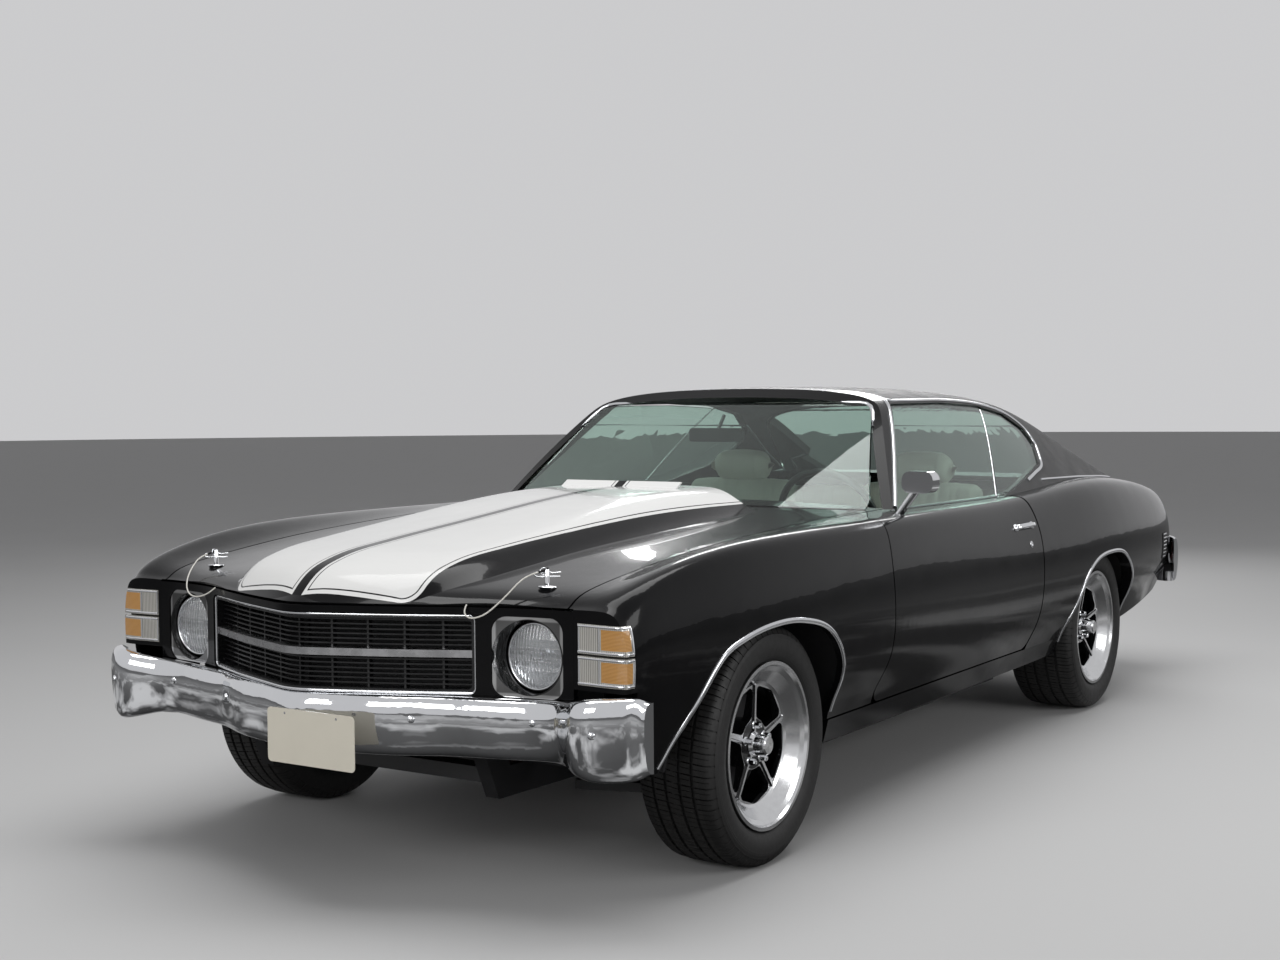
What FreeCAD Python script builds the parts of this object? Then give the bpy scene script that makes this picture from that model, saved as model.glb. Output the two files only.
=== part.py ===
import FreeCAD, Part
import math
import os

# Units are millimetres. +X points to the car's front, +Y to its left and +Z up.
# The origin is on the ground under the middle of the car.

# Driving dimensions
bodyLength = 5017.0
halfWidth = 957.5
bodyHeight = 1336.0
wheelbase = 2845.0
frontOverhang = 940.0
tyreRadius = 335.0
rimSeatRadius = 216.0
rimFlangeRadius = 233.0
frontTyreWidth = 245.0
rearTyreWidth = 275.0
frontRimWidth = 228.0
rearRimWidth = 254.0
frontRimFace = 905.0
rearRimFace = 887.0
sheetThickness = 18.0
wallThickness = 45.0
roofThickness = 30.0
glassThickness = 6.0
panelGap = 6.0
glassGap = 10.0
seatGap = 0.3
runningClearance = 0.05
wheelClearance = 22.0

# Places that follow from them
frontAxle = bodyLength / 2 - frontOverhang
rearAxle = frontAxle - wheelbase
frontWheelCentre = frontRimFace - frontRimWidth / 2
rearWheelCentre = rearRimFace - rearRimWidth / 2

os.makedirs("parts", exist_ok=True)
vec = FreeCAD.Vector
across = vec(0, 1, 0)
upward = vec(0, 0, 1)
forward = vec(1, 0, 0)
middle = vec(0, 0, 0)


def alongX(share):
    return share * bodyLength


def alongY(share):
    return share * halfWidth


def alongZ(share):
    return share * bodyHeight


def save(shape, name):
    shape.exportStep("parts/" + name + ".step")
    print(name, len(shape.Solids), "solids", round(shape.Volume / 1000), "cm3", shape.isValid())


def fuseAll(shapes):
    whole = shapes[0]
    for shape in shapes[1:]:
        whole = whole.fuse(shape)
    return whole.removeSplitter()


def mirrored(shape):
    return shape.mirror(middle, across)


def pair(shape):
    return Part.makeCompound([shape, mirrored(shape)])


# Each rounded corner takes at most this share of its shorter side.
reachShare = 0.48


def corner(points, index, radius):
    here = points[index]
    toLast = (points[index - 1] - here)
    toNext = (points[(index + 1) % len(points)] - here)
    reach = min(toLast.Length, toNext.Length) * reachShare
    toLast.normalize()
    toNext.normalize()
    halfAngle = toLast.getAngle(toNext) / 2
    back = min(radius / math.tan(halfAngle), reach)
    bend = back * math.tan(halfAngle)
    inward = toLast + toNext
    inward.normalize()
    deep = bend / math.sin(halfAngle) - bend
    return here + toLast * back, here + inward * deep, here + toNext * back


def ring(points, radius):
    # A closed wire through the points, each corner rounded when a radius is given.
    if radius == 0:
        return Part.makePolygon(points + [points[0]])
    corners = [corner(points, index, radius) for index in range(len(points))]
    edges = []
    for index, (start, mid, end) in enumerate(corners):
        edges.append(Part.Arc(start, mid, end).toShape())
        edges.append(Part.makeLine(end, corners[(index + 1) % len(corners)][0]))
    return Part.Wire(edges)


def prismX(outline, low, high, radius=0):
    points = [vec(low, y, z) for y, z in outline]
    return Part.Face(ring(points, radius)).extrude(vec(high - low, 0, 0))


def prismY(outline, low, high, radius=0):
    points = [vec(x, low, z) for x, z in outline]
    return Part.Face(ring(points, radius)).extrude(vec(0, high - low, 0))


def prismZ(outline, low, high, radius=0):
    points = [vec(x, y, low) for x, y in outline]
    return Part.Face(ring(points, radius)).extrude(vec(0, 0, high - low))


def block(shares):
    # A box from low and high shares of the body's length, half width and height.
    x0, x1, y0, y1, z0, z1 = shares
    low = vec(alongX(x0), alongY(y0), alongZ(z0))
    return Part.makeBox(alongX(x1 - x0), alongY(y1 - y0), alongZ(z1 - z0), low)


def rod(start, end, radius):
    return Part.makeCylinder(radius, (end - start).Length, start, end - start)


def scaled(outline):
    return [(alongY(y), alongZ(z)) for y, z in outline]


def profile(outline):
    return [(alongX(x), alongZ(z)) for x, z in outline]


def plan(outline):
    return [(alongX(x), alongY(y)) for x, y in outline]


def valueAt(stations, values, place):
    # Smooth curve through hand-chosen values, by cubic steps between the stations.
    count = len(stations)
    index = 0
    while index < count - 2 and place > stations[index + 1]:
        index += 1
    slopes = []
    for node in (index, index + 1):
        before = max(node - 1, 0)
        after = min(node + 1, count - 1)
        slopes.append((values[after] - values[before]) / (stations[after] - stations[before]))
    span = stations[index + 1] - stations[index]
    t = (place - stations[index]) / span
    startPart = (1 + 2 * t) * (1 - t) ** 2 * values[index] + t * (1 - t) ** 2 * span * slopes[0]
    endPart = t * t * (3 - 2 * t) * values[index + 1] + t * t * (t - 1) * span * slopes[1]
    return startPart + endPart


# Plan of the nose: how far each place across the car lies behind the front point
noseSet = 14.0
noseFront = bodyLength / 2 - noseSet
noseYShares = (0, 0.0313, 0.0627, 0.1567, 0.3133, 0.4909, 0.6319, 0.7311, 0.8355, 0.9191, 0.9713, 1.0653)
noseBackShares = (
    0, 0.0006, 0.0024, 0.009, 0.0209, 0.0365, 0.0442, 0.0462, 0.0454, 0.0454, 0.0488, 0.0598,
)
# Plan of the tail in the same way
tailSet = 62.0
tailRear = bodyLength / 2 - tailSet
tailYShares = (0, 0.0313, 0.0627, 0.1567, 0.3133, 0.4909, 0.6319, 0.7311, 0.8355, 0.9191, 0.9713, 1.0653)
tailBackShares = (0, 0, 0, 0.0002, 0.0008, 0.002, 0.0036, 0.0056, 0.0092, 0.0159, 0.0239, 0.0439)


def noseBack(y):
    return alongX(valueAt(noseYShares, noseBackShares, abs(y) / halfWidth))


def tailBack(y):
    return alongX(valueAt(tailYShares, tailBackShares, abs(y) / halfWidth))


# Key lines of the body skin, from the middle of the top down to the sill.
# Each row is one line; each column is one station along the car.
stationShares = (
    0.5382, 0.4993, 0.4923, 0.4784, 0.4485, 0.4086, 0.3588, 0.299, 0.2392, 0.1694, 0.0897, 0,
    -0.0797, -0.1595, -0.2392, -0.3189, -0.3986, -0.4425, -0.4744, -0.4863, -0.4923, -0.5282,
)
noseFollow = (0, 1, 1, 1, 0.85, 0.6, 0.3, 0.1, 0, 0, 0, 0, 0, 0, 0, 0, 0, 0, 0, 0, 0, 0)
tailFollow = (0, 0, 0, 0, 0, 0, 0, 0, 0, 0, 0, 0, 0, 0, 0, 0, 0.1, 0.5, 0.9, 1, 1, 0)
lineZShares = (
    (
        0.524, 0.5651, 0.5966, 0.6123, 0.6257, 0.6392, 0.6557, 0.6714, 0.6834, 0.6946, 0.7036,
        0.7081, 0.7111, 0.7171, 0.7231, 0.7201, 0.7021, 0.6841, 0.6662, 0.6497, 0.6213, 0.5689,
    ),
    (
        0.524, 0.5651, 0.5966, 0.6123, 0.6257, 0.6392, 0.6557, 0.6714, 0.6834, 0.6946, 0.7036,
        0.7081, 0.7111, 0.7171, 0.7231, 0.7201, 0.7021, 0.6841, 0.6662, 0.6497, 0.6213, 0.5689,
    ),
    (
        0.524, 0.5651, 0.5958, 0.6108, 0.6235, 0.637, 0.6527, 0.6677, 0.6804, 0.6916, 0.7021,
        0.7066, 0.7096, 0.7156, 0.7216, 0.7186, 0.6999, 0.6819, 0.6639, 0.6482, 0.6198, 0.5689,
    ),
    (
        0.524, 0.5629, 0.5913, 0.6048, 0.6153, 0.6272, 0.6422, 0.6572, 0.6707, 0.6841, 0.6946,
        0.6886, 0.6871, 0.6991, 0.7171, 0.7126, 0.6916, 0.6737, 0.6557, 0.6407, 0.6138, 0.5614,
    ),
    (
        0.524, 0.5651, 0.5958, 0.6123, 0.6287, 0.6452, 0.6617, 0.6737, 0.6796, 0.6841, 0.6879,
        0.6871, 0.6856, 0.6946, 0.7126, 0.7096, 0.6871, 0.6677, 0.6497, 0.6362, 0.6078, 0.5539,
    ),
    (
        0.5165, 0.5651, 0.6003, 0.6257, 0.6497, 0.6677, 0.6811, 0.6871, 0.6886, 0.6886, 0.6871,
        0.6841, 0.6826, 0.6924, 0.7096, 0.7051, 0.6796, 0.6587, 0.6422, 0.6272, 0.5988, 0.5464,
    ),
    (
        0.509, 0.5576, 0.5913, 0.6153, 0.6362, 0.6557, 0.6707, 0.6766, 0.6781, 0.6774, 0.6744,
        0.6714, 0.6699, 0.6781, 0.6924, 0.6871, 0.6632, 0.6422, 0.6257, 0.6108, 0.5853, 0.5389,
    ),
    (
        0.494, 0.524, 0.5464, 0.5614, 0.5726, 0.5823, 0.5898, 0.5913, 0.5913, 0.5898, 0.5876,
        0.5853, 0.5838, 0.5876, 0.5928, 0.5913, 0.5801, 0.5689, 0.5576, 0.5501, 0.5352, 0.509,
    ),
    (
        0.4641, 0.479, 0.485, 0.488, 0.4903, 0.4903, 0.4903, 0.4903, 0.4903, 0.4865, 0.4828, 0.479,
        0.479, 0.4828, 0.4865, 0.4865, 0.479, 0.4716, 0.4656, 0.4626, 0.4581, 0.4491,
    ),
    (
        0.4042, 0.4004, 0.3967, 0.3907, 0.3832, 0.378, 0.3728, 0.3683, 0.3668, 0.363, 0.3593,
        0.3555, 0.3555, 0.3593, 0.363, 0.3683, 0.3743, 0.3802, 0.3862, 0.3892, 0.3922, 0.3967,
    ),
    (
        0.3368, 0.3331, 0.3278, 0.3204, 0.3106, 0.3009, 0.2919, 0.2859, 0.2829, 0.2807, 0.2784,
        0.2769, 0.2769, 0.2807, 0.2882, 0.2979, 0.3084, 0.3204, 0.3293, 0.3331, 0.3368, 0.3406,
    ),
    (
        0.3144, 0.3069, 0.2994, 0.2904, 0.2769, 0.2635, 0.2545, 0.2493, 0.247, 0.247, 0.247, 0.247,
        0.247, 0.2485, 0.2545, 0.268, 0.2829, 0.2979, 0.3084, 0.3129, 0.3159, 0.3181,
    ),
    (
        0.2994, 0.2919, 0.2829, 0.271, 0.2545, 0.2358, 0.2171, 0.2043, 0.1991, 0.1976, 0.1976,
        0.1976, 0.1976, 0.2006, 0.2133, 0.2335, 0.2582, 0.2769, 0.2882, 0.2934, 0.2979, 0.2994,
    ),
)
lineYShares = (
    (0, 0, 0, 0, 0, 0, 0, 0, 0, 0, 0, 0, 0, 0, 0, 0, 0, 0, 0, 0, 0, 0),
    (
        0.0627, 0.0627, 0.0627, 0.0627, 0.0627, 0.0627, 0.0627, 0.0627, 0.0627, 0.0627, 0.0627,
        0.0627, 0.0627, 0.0627, 0.0627, 0.0627, 0.0627, 0.0627, 0.0627, 0.0627, 0.0627, 0.0627,
    ),
    (
        0.3342, 0.3446, 0.3499, 0.3551, 0.3603, 0.3634, 0.3655, 0.3655, 0.3655, 0.3655, 0.3655,
        0.3655, 0.3603, 0.3551, 0.3499, 0.3446, 0.3394, 0.3363, 0.3342, 0.3321, 0.33, 0.3238,
    ),
    (
        0.6789, 0.6841, 0.6893, 0.6956, 0.7039, 0.7144, 0.7206, 0.7227, 0.7227, 0.7206, 0.7154,
        0.7102, 0.7018, 0.6945, 0.6893, 0.6841, 0.6789, 0.6736, 0.6684, 0.6642, 0.658, 0.6475,
    ),
    (
        0.7885, 0.799, 0.8063, 0.8146, 0.823, 0.8303, 0.8355, 0.8376, 0.8376, 0.8355, 0.8303,
        0.8198, 0.8094, 0.8042, 0.8042, 0.8021, 0.7958, 0.7885, 0.7812, 0.7749, 0.7666, 0.752,
    ),
    (
        0.846, 0.8616, 0.8752, 0.8856, 0.894, 0.9044, 0.9117, 0.9149, 0.9149, 0.9117, 0.9034,
        0.8877, 0.8752, 0.8721, 0.8752, 0.8689, 0.8585, 0.848, 0.8376, 0.8292, 0.8188, 0.799,
    ),
    (
        0.8825, 0.9003, 0.9149, 0.9253, 0.9358, 0.9483, 0.9587, 0.9661, 0.9692, 0.9671, 0.9525,
        0.9295, 0.9128, 0.917, 0.9295, 0.9253, 0.9065, 0.894, 0.8794, 0.8689, 0.8564, 0.8355,
    ),
    (
        0.9034, 0.9211, 0.9347, 0.9452, 0.9535, 0.965, 0.9775, 0.9859, 0.988, 0.9859, 0.9734,
        0.9661, 0.9661, 0.9775, 0.988, 0.9838, 0.9608, 0.9462, 0.9295, 0.917, 0.9044, 0.8825,
    ),
    (
        0.9107, 0.9295, 0.9452, 0.9556, 0.9661, 0.9796, 0.9943, 1.0016, 1.0026, 1.0005, 0.9869,
        0.9775, 0.9796, 0.9922, 1.0026, 0.9995, 0.9786, 0.9608, 0.942, 0.9295, 0.917, 0.8961,
    ),
    (
        0.9003, 0.9191, 0.9358, 0.9462, 0.9556, 0.9692, 0.9817, 0.9901, 0.9922, 0.9922, 0.9796,
        0.9713, 0.9692, 0.9796, 0.9901, 0.9869, 0.9661, 0.9483, 0.9316, 0.9191, 0.9065, 0.8856,
    ),
    (
        0.8564, 0.8721, 0.8836, 0.8919, 0.9003, 0.9086, 0.9128, 0.9128, 0.9107, 0.9065, 0.9065,
        0.9107, 0.917, 0.9191, 0.9232, 0.9211, 0.9065, 0.893, 0.8773, 0.8668, 0.8564, 0.8355,
    ),
    (
        0.846, 0.8606, 0.8731, 0.8825, 0.8898, 0.8982, 0.9065, 0.9086, 0.9086, 0.9065, 0.9023,
        0.8961, 0.8898, 0.8961, 0.9065, 0.9065, 0.893, 0.8794, 0.8648, 0.8564, 0.846, 0.8251,
    ),
    (
        0.8303, 0.8439, 0.8543, 0.8648, 0.8731, 0.8804, 0.8877, 0.8898, 0.8898, 0.8877, 0.8836,
        0.8794, 0.8752, 0.8794, 0.8877, 0.8877, 0.8752, 0.8627, 0.848, 0.8397, 0.8292, 0.8094,
    ),
)
# Share of an inset that each line moves inward and downward
insetYShares = (0, 0, 0, 0, 0, 0.5, 1, 1, 1, 1, 1, 1, 1)
insetZShares = (1, 1, 1, 1, 1, 1, 0.6, 0, 0, 0, 0, 0, 0)
openBelow = 60.0


def knotsFor(count):
    inner = count - 3
    return [4] + [1] * (inner - 1) + [4], [float(step) for step in range(inner + 1)]


def skinSolid(rows):
    # A closed solid under one smooth surface: two flat ends and a ruled floor.
    surface = Part.BSplineSurface()
    mults, knots = knotsFor(len(rows))
    multsAcross, knotsAcross = knotsFor(len(rows[0]))
    surface.buildFromPolesMultsKnots(rows, mults, multsAcross, knots, knotsAcross, False, False, 3, 3)
    rightEdge = surface.vIso(knotsAcross[0]).toShape()
    leftEdge = surface.vIso(knotsAcross[-1]).toShape()
    faces = [surface.toShape(), Part.makeRuledSurface(rightEdge, leftEdge)]
    for knot, row in ((knots[0], rows[0]), (knots[-1], rows[-1])):
        rim = surface.uIso(knot).toShape()
        faces.append(Part.Face(Part.Wire([rim, Part.makeLine(row[0], row[-1])])))
    shell = Part.makeShell(faces)
    shell.sewShape()
    solid = Part.makeSolid(shell)
    if solid.Volume < 0:
        solid.reverse()
    return solid


def bodyRows(inset, drop):
    rows = []
    for station, share in enumerate(stationShares):
        row = []
        for line in range(len(lineYShares)):
            y = alongY(lineYShares[line][station]) - inset * insetYShares[line]
            z = alongZ(lineZShares[line][station]) - inset * insetZShares[line]
            if line == len(lineYShares) - 1:
                z -= drop
            x = alongX(share)
            x -= noseFollow[station] * noseBack(y)
            x += tailFollow[station] * tailBack(y)
            row.append(vec(x, max(y, 0), z))
        rightHalf = [vec(p.x, -p.y, p.z) for p in reversed(row[1:])]
        rows.append(rightHalf + row)
    return rows


def planSolid(front, back):
    # Everything between the nose plan and the tail plan, each set back by a length.
    top = bodyHeight
    planShares = (-1.06, -0.97, -0.92, -0.83, -0.73, -0.63, -0.49, -0.31, -0.16, -0.06, -0.03, 0)
    places = [alongY(share) for share in planShares]
    places += [-y for y in reversed(places[:-1])]
    nose = Part.BSplineCurve()
    nose.interpolate([vec(noseFront - front - noseBack(y), y, 0) for y in places])
    tail = Part.BSplineCurve()
    tail.interpolate([vec(-tailRear + back + tailBack(y), y, 0) for y in places])
    ends = []
    for y in (places[0], places[-1]):
        noseEnd = vec(noseFront - front - noseBack(y), y, 0)
        tailEnd = vec(-tailRear + back + tailBack(y), y, 0)
        ends.append(Part.makeLine(noseEnd, tailEnd))
    outline = Part.Wire([nose.toShape(), ends[1], tail.toShape(), ends[0]])
    return Part.Face(outline).extrude(vec(0, 0, top))


outerBody = skinSolid(bodyRows(0, 0)).common(planSolid(0, 0))
sheetCore = skinSolid(bodyRows(sheetThickness, openBelow)).common(planSolid(sheetThickness, sheetThickness))
wallCore = skinSolid(bodyRows(wallThickness, openBelow)).common(planSolid(wallThickness, wallThickness))
sheet = outerBody.cut(sheetCore)
wall = outerBody.cut(wallCore)
print("skins", sheet.isValid(), wall.isValid(), outerBody.BoundBox)

# Panel lines
doorSet = 723.5
doorFront = frontAxle - doorSet
doorLength = 1362.0
doorRear = doorFront - doorLength
doorInner = 745.0
doorBevel = 20.0
doorCornerRadius = 45.0
hoodHalf = 715.0
hoodSideSet = 925.0
hoodMiddleSet = 775.0
hoodRearSide = frontAxle - hoodSideSet
hoodRearMiddle = frontAxle - hoodMiddleSet
hoodFrontEdge = 776.0
headerHalf = 735.0
headerBottom = 549.0
lidHalf = 660.0
lidFront = -1640.0
lidEdge = 806.0
tailHalf = 700.0
quarterTopSplit = -1250.0
sillTop = 334.0
sillInner = 700.0
farOut = bodyLength
high = bodyHeight
cabinGapShare = 1.4
cabinHalf = doorInner - panelGap * cabinGapShare

# Wheel openings in the body side, as shares of the tyre radius from each axle
frontArchShares = (
    (-1.25, -0.1), (-1.25, 0.7), (-1.21, 1.19), (-1.08, 1.58), (-0.77, 1.87), (-0.3, 1.99),
    (0.15, 2.005), (0.57, 1.95), (0.91, 1.83), (1.2, 1.5), (1.38, 1.14), (1.48, 0.7), (1.5, -0.1),
)
rearArchShares = (
    (1.11, -0.1), (1.11, 0.7), (1.09, 1.19), (0.91, 1.62), (0.53, 1.86), (0, 1.925),
    (-0.52, 1.87), (-0.94, 1.6), (-1.1, 1.19), (-1.12, 0.7), (-1.12, -0.1),
)


def archTool(axle, outline, low, top):
    points = [vec(axle + tyreRadius * x, low, tyreRadius * z) for x, z in outline]
    curve = Part.BSplineCurve()
    curve.interpolate(points)
    wire = Part.Wire([curve.toShape(), Part.makeLine(points[-1], points[0])])
    return Part.Face(wire).extrude(vec(0, top - low, 0))


def between(x0, x1, y0, y1, z0, z1):
    return Part.makeBox(x1 - x0, y1 - y0, z1 - z0, vec(x0, y0, z0))


# Space the turning front wheels and the rear wheels need
kingpinInset = 124.0
kingpinY = frontWheelCentre - kingpinInset
steerReach = math.hypot(tyreRadius, kingpinInset + frontTyreWidth / 2) + wheelClearance
wheelRoom = 50.0
innerWheelRoom = 24.0
houseTop = 2 * tyreRadius + wheelRoom
steerSpace = Part.makeCylinder(steerReach, houseTop, vec(frontAxle, kingpinY, 0))
rearHouseRadius = tyreRadius + wheelRoom
rearHouseInner = rearWheelCentre - rearTyreWidth / 2 - innerWheelRoom
rearSpace = Part.makeCylinder(rearHouseRadius, farOut, vec(rearAxle, rearHouseInner, tyreRadius), across)

frontArch = archTool(frontAxle, frontArchShares, sillInner, farOut)
rearArch = archTool(rearAxle, rearArchShares, sillInner, farOut)

# Front fenders
bumperNotchX = 2225.0
bumperNotchZ = 578.0
cornerLampInner = 748.0
cornerLampRear = 2236.0
cornerLampBottom = 590.0
cornerLampMiddle = 666.0
cornerLampTop = 743.0
fenderUpper = between(doorFront + panelGap, farOut, hoodHalf + panelGap, farOut, hoodFrontEdge, high)
fenderLower = between(doorFront + panelGap, farOut, headerHalf + seatGap, farOut, 0, hoodFrontEdge)
fenderRegion = fenderUpper.fuse(fenderLower)
fenderRegion = fenderRegion.cut(between(0, frontAxle, 0, farOut, 0, sillTop + panelGap))
noseNotch = between(bumperNotchX, farOut, 0, farOut, 0, bumperNotchZ)
fender = sheet.common(fenderRegion).cut(frontArch).cut(noseNotch)
lampBox = between(cornerLampRear, farOut, cornerLampInner, farOut, cornerLampBottom, cornerLampTop)
fender = fender.cut(lampBox)
save(pair(fender), "front_fenders")

# Hood with its raised middle
hoodRearCurve = Part.Arc(
    vec(hoodRearSide, -hoodHalf, 0), vec(hoodRearMiddle, 0, 0), vec(hoodRearSide, hoodHalf, 0))
hoodSides = [
    Part.makeLine(vec(hoodRearSide, hoodHalf, 0), vec(farOut, hoodHalf, 0)),
    Part.makeLine(vec(farOut, hoodHalf, 0), vec(farOut, -hoodHalf, 0)),
    Part.makeLine(vec(farOut, -hoodHalf, 0), vec(hoodRearSide, -hoodHalf, 0)),
]
hoodFace = Part.Face(Part.Wire([hoodRearCurve.toShape()] + hoodSides))
hoodRegion = hoodFace.extrude(vec(0, 0, high))
hoodRegion.translate(vec(0, 0, hoodFrontEdge))
hood = sheet.common(hoodRegion)
# The raised middle follows the nose plan in front and runs straight behind.
# Each station gives its place, how far it follows the nose, its top, its crest and its foot.
raisedShares = (
    (0.5103, 0.0, 0.524, 0.2507, 0.4073, 0.524), (0.4977, 1.0, 0.5726, 0.2611, 0.4125, 0.5666),
    (0.4915, 1.0, 0.5981, 0.282, 0.4178, 0.5883), (0.4883, 1.0, 0.6108, 0.2977, 0.4261, 0.5913),
    (0.4828, 1.0, 0.6287, 0.3091, 0.4345, 0.5966), (0.4752, 1.0, 0.643, 0.3154, 0.4407, 0.601),
    (0.4672, 1.0, 0.6519, 0.3185, 0.446, 0.6063), (0.4568, 1.0, 0.6617, 0.3196, 0.4491, 0.6115),
    (0.4445, 1.0, 0.6692, 0.3196, 0.4533, 0.616), (0.4289, 1.0, 0.6751, 0.3196, 0.4574, 0.6235),
    (0.3996, 0.9, 0.6871, 0.3175, 0.4616, 0.6332), (0.3546, 0.55, 0.7028, 0.3112, 0.4679, 0.6445),
    (0.3161, 0.25, 0.7178, 0.3029, 0.4752, 0.6534), (0.2647, 0.0, 0.7373, 0.2924, 0.4856, 0.6647),
    (0.2205, 0.0, 0.7485, 0.2799, 0.495, 0.6737), (0.1894, 0.0, 0.7515, 0.2715, 0.5013, 0.6789),
    (0.1585, 0.0, 0.7507, 0.2653, 0.5065, 0.6826),
)
# Across: place between crest and foot, and height between foot and top, from middle to foot
raisedAcrossShares = ((0.0, 1.0), (0.45, 0.995), (0.9, 0.975))
raisedSideShares = ((0.15, 0.93), (0.38, 0.68), (0.58, 0.34), (0.78, 0.1), (1.0, 0.0))


def raisedRows(drop):
    rows = []
    for x, follow, top, crest, foot, base in raisedShares:
        half = [(alongY(crest) * y, z) for y, z in raisedAcrossShares]
        half += [(alongY(crest) + alongY(foot - crest) * y, z) for y, z in raisedSideShares]
        row = []
        for y, z in half:
            row.append(vec(alongX(x) - follow * noseBack(y), y, alongZ(base + (top - base) * z) - drop))
        rows.append([vec(p.x, -p.y, p.z) for p in reversed(row[1:])] + row)
    return rows[::-1]


lipThickness = 14.0
raisedTop = skinSolid(raisedRows(0))
raisedInside = skinSolid(raisedRows(sheetThickness)).common(
    between(alongX(raisedShares[-1][0]) + lipThickness, farOut, -farOut, farOut, 0, high))
raisedTop = raisedTop.common(planSolid(0, 0)).common(hoodRegion)
hood = hood.fuse(raisedTop).cut(raisedInside)
print("hood", hood.isValid(), len(hood.Solids), round(hood.Volume / 1e6, 1))
# The air door at the back of the raised middle, shown open
flapShares = ((0.1919, 0.7478), (0.1846, 0.7635), (0.1836, 0.7612), (0.1908, 0.7448))
flapHalf = 228.0
flapWellShares = ((0.1904, 0.741), (0.1904, 0.7784), (0.1754, 0.7784), (0.1754, 0.741))
wellHalf = flapHalf - panelGap
flapWell = prismY(profile(flapWellShares), -wellHalf, wellHalf)
hood = hood.cut(flapWell).fuse(prismY(profile(flapShares), -flapHalf, flapHalf))
# Two pins with their plates near the front corners, and an eye for each lanyard
pinX = 2179.0
pinY = 596.0
pinFoot = 800.0
plateZ = 812.0
pinRadius = 5.5
plateRadius = 20.0
plateThickness = 3.0
eyeRadius = 3.5
eyeReach = 26.0
cordDiameter = 4.0
cordBendShare = 0.45


def cordTube(points, diameter, label):
    # Straight runs joined by arcs, each as large as its two runs allow.
    runs = [points[i + 1].sub(points[i]) for i in range(len(points) - 1)]
    edges = []
    start = points[0]
    radii = []
    for i in range(1, len(points) - 1):
        before, after = runs[i - 1], runs[i]
        reach = cordBendShare * min(before.Length, after.Length)
        inward = vec(before).normalize()
        outward = vec(after).normalize()
        turn = inward.getAngle(outward)
        radius = reach / math.tan(turn / 2)
        radii.append(radius)
        first = points[i].sub(inward.multiply(reach))
        last = points[i].add(outward.multiply(reach))
        inner = first.add(last).multiply(0.5).sub(points[i])
        centreReach = math.hypot(radius, reach)
        toCentre = vec(inner).normalize()
        mid = points[i].add(toCentre.multiply(centreReach - radius))
        edges.append(Part.makeLine(start, first))
        edges.append(Part.Arc(first, mid, last).toShape())
        start = last
    edges.append(Part.makeLine(start, points[-1]))
    wire = Part.Wire(edges)
    section = Part.Wire([Part.makeCircle(diameter / 2, points[0], runs[0])])
    tube = wire.makePipeShell([section], True, False)
    expected = math.pi * diameter ** 2 / 4 * wire.Length
    print(label, "length", round(wire.Length, 1), "volume share", round(tube.Volume / expected, 4),
          "radii", [round(radius, 1) for radius in radii])
    return tube


# Each route starts at the eye on its pin, hangs over the edge of the hood and ends at the seam.
leftEyeZ = 860.0
rightEyeZ = 858.0
leftAimShares = (0.9, -0.38, -0.2)
rightAimShares = (0.88, -0.35, -0.3)
leftRoute = (
    (2254.0, 564.0, 834.0), (2284.0, 552.0, 806.0), (2310.0, 536.0, 780.0), (2327.0, 517.0, 759.0),
    (2338.0, 495.0, 748.0), (2343.0, 475.0, 746.0), (2341.0, 459.0, 753.0), (2334.0, 451.0, 765.0),
    (2323.0, 450.0, 777.0),
)
rightRoute = (
    (2252.0, -612.0, 820.0), (2282.0, -600.0, 796.0), (2307.0, -581.0, 772.0), (2323.0, -558.0, 754.0),
    (2332.0, -532.0, 745.0), (2335.0, -505.0, 744.0), (2336.0, -479.0, 750.0), (2335.0, -456.0, 760.0),
    (2333.0, -437.0, 773.0),
)
cordPlans = (
    ("left", 1, leftAimShares, leftEyeZ, leftRoute),
    ("right", -1, rightAimShares, rightEyeZ, rightRoute),
)
cordTubes = []
for side, sense, aimShares, eyeZ, later in cordPlans:
    aim = vec(*aimShares)
    aim.normalize()
    eye = vec(pinX, pinY * sense, eyeZ)
    start = eye + aim * eyeReach
    route = [start, eye + aim * (2 * eyeReach)] + [vec(*place) for place in later]
    low = vec(pinX, pinY * sense, pinFoot)
    stud = rod(low, vec(pinX, pinY * sense, eye.z + pinRadius), pinRadius)
    hood = hood.fuse(stud)
    plateLow = vec(pinX, pinY * sense, plateZ - plateThickness)
    hood = hood.fuse(rod(plateLow, vec(pinX, pinY * sense, plateZ + plateThickness), plateRadius))
    arm = rod(eye, start, eyeRadius)
    hood = hood.fuse(arm)
    cordTubes.append((side, cordTube(route, cordDiameter, "lanyard " + side)))
save(hood, "hood")
for side, tube in cordTubes:
    save(tube, "hood_cord_" + side)

# Nose panel that holds the grille and the headlamps
lampY = 605.0
lampZ = 647.0
bezelWidth = 196.0
bezelHeight = 204.0
bezelCorner = 38.0
grilleHalf = 468.0
grilleTop = 752.0
grilleBottom = 546.0
headerRegion = between(0, farOut, -headerHalf, headerHalf, headerBottom, hoodFrontEdge - panelGap)
header = sheet.common(headerRegion)


def frontWindow(y0, y1, z0, z1, radius):
    outline = ((y0, z0), (y1, z0), (y1, z1), (y0, z1))
    return prismX(outline, 0, farOut, radius)


header = header.cut(frontWindow(-grilleHalf, grilleHalf, grilleBottom, grilleTop, bezelCorner / 2))
bezelWindow = frontWindow(
    lampY - bezelWidth / 2, lampY + bezelWidth / 2,
    lampZ - bezelHeight / 2, lampZ + bezelHeight / 2, bezelCorner)
header = header.cut(bezelWindow).cut(mirrored(bezelWindow))
save(header, "header_panel")

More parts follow.
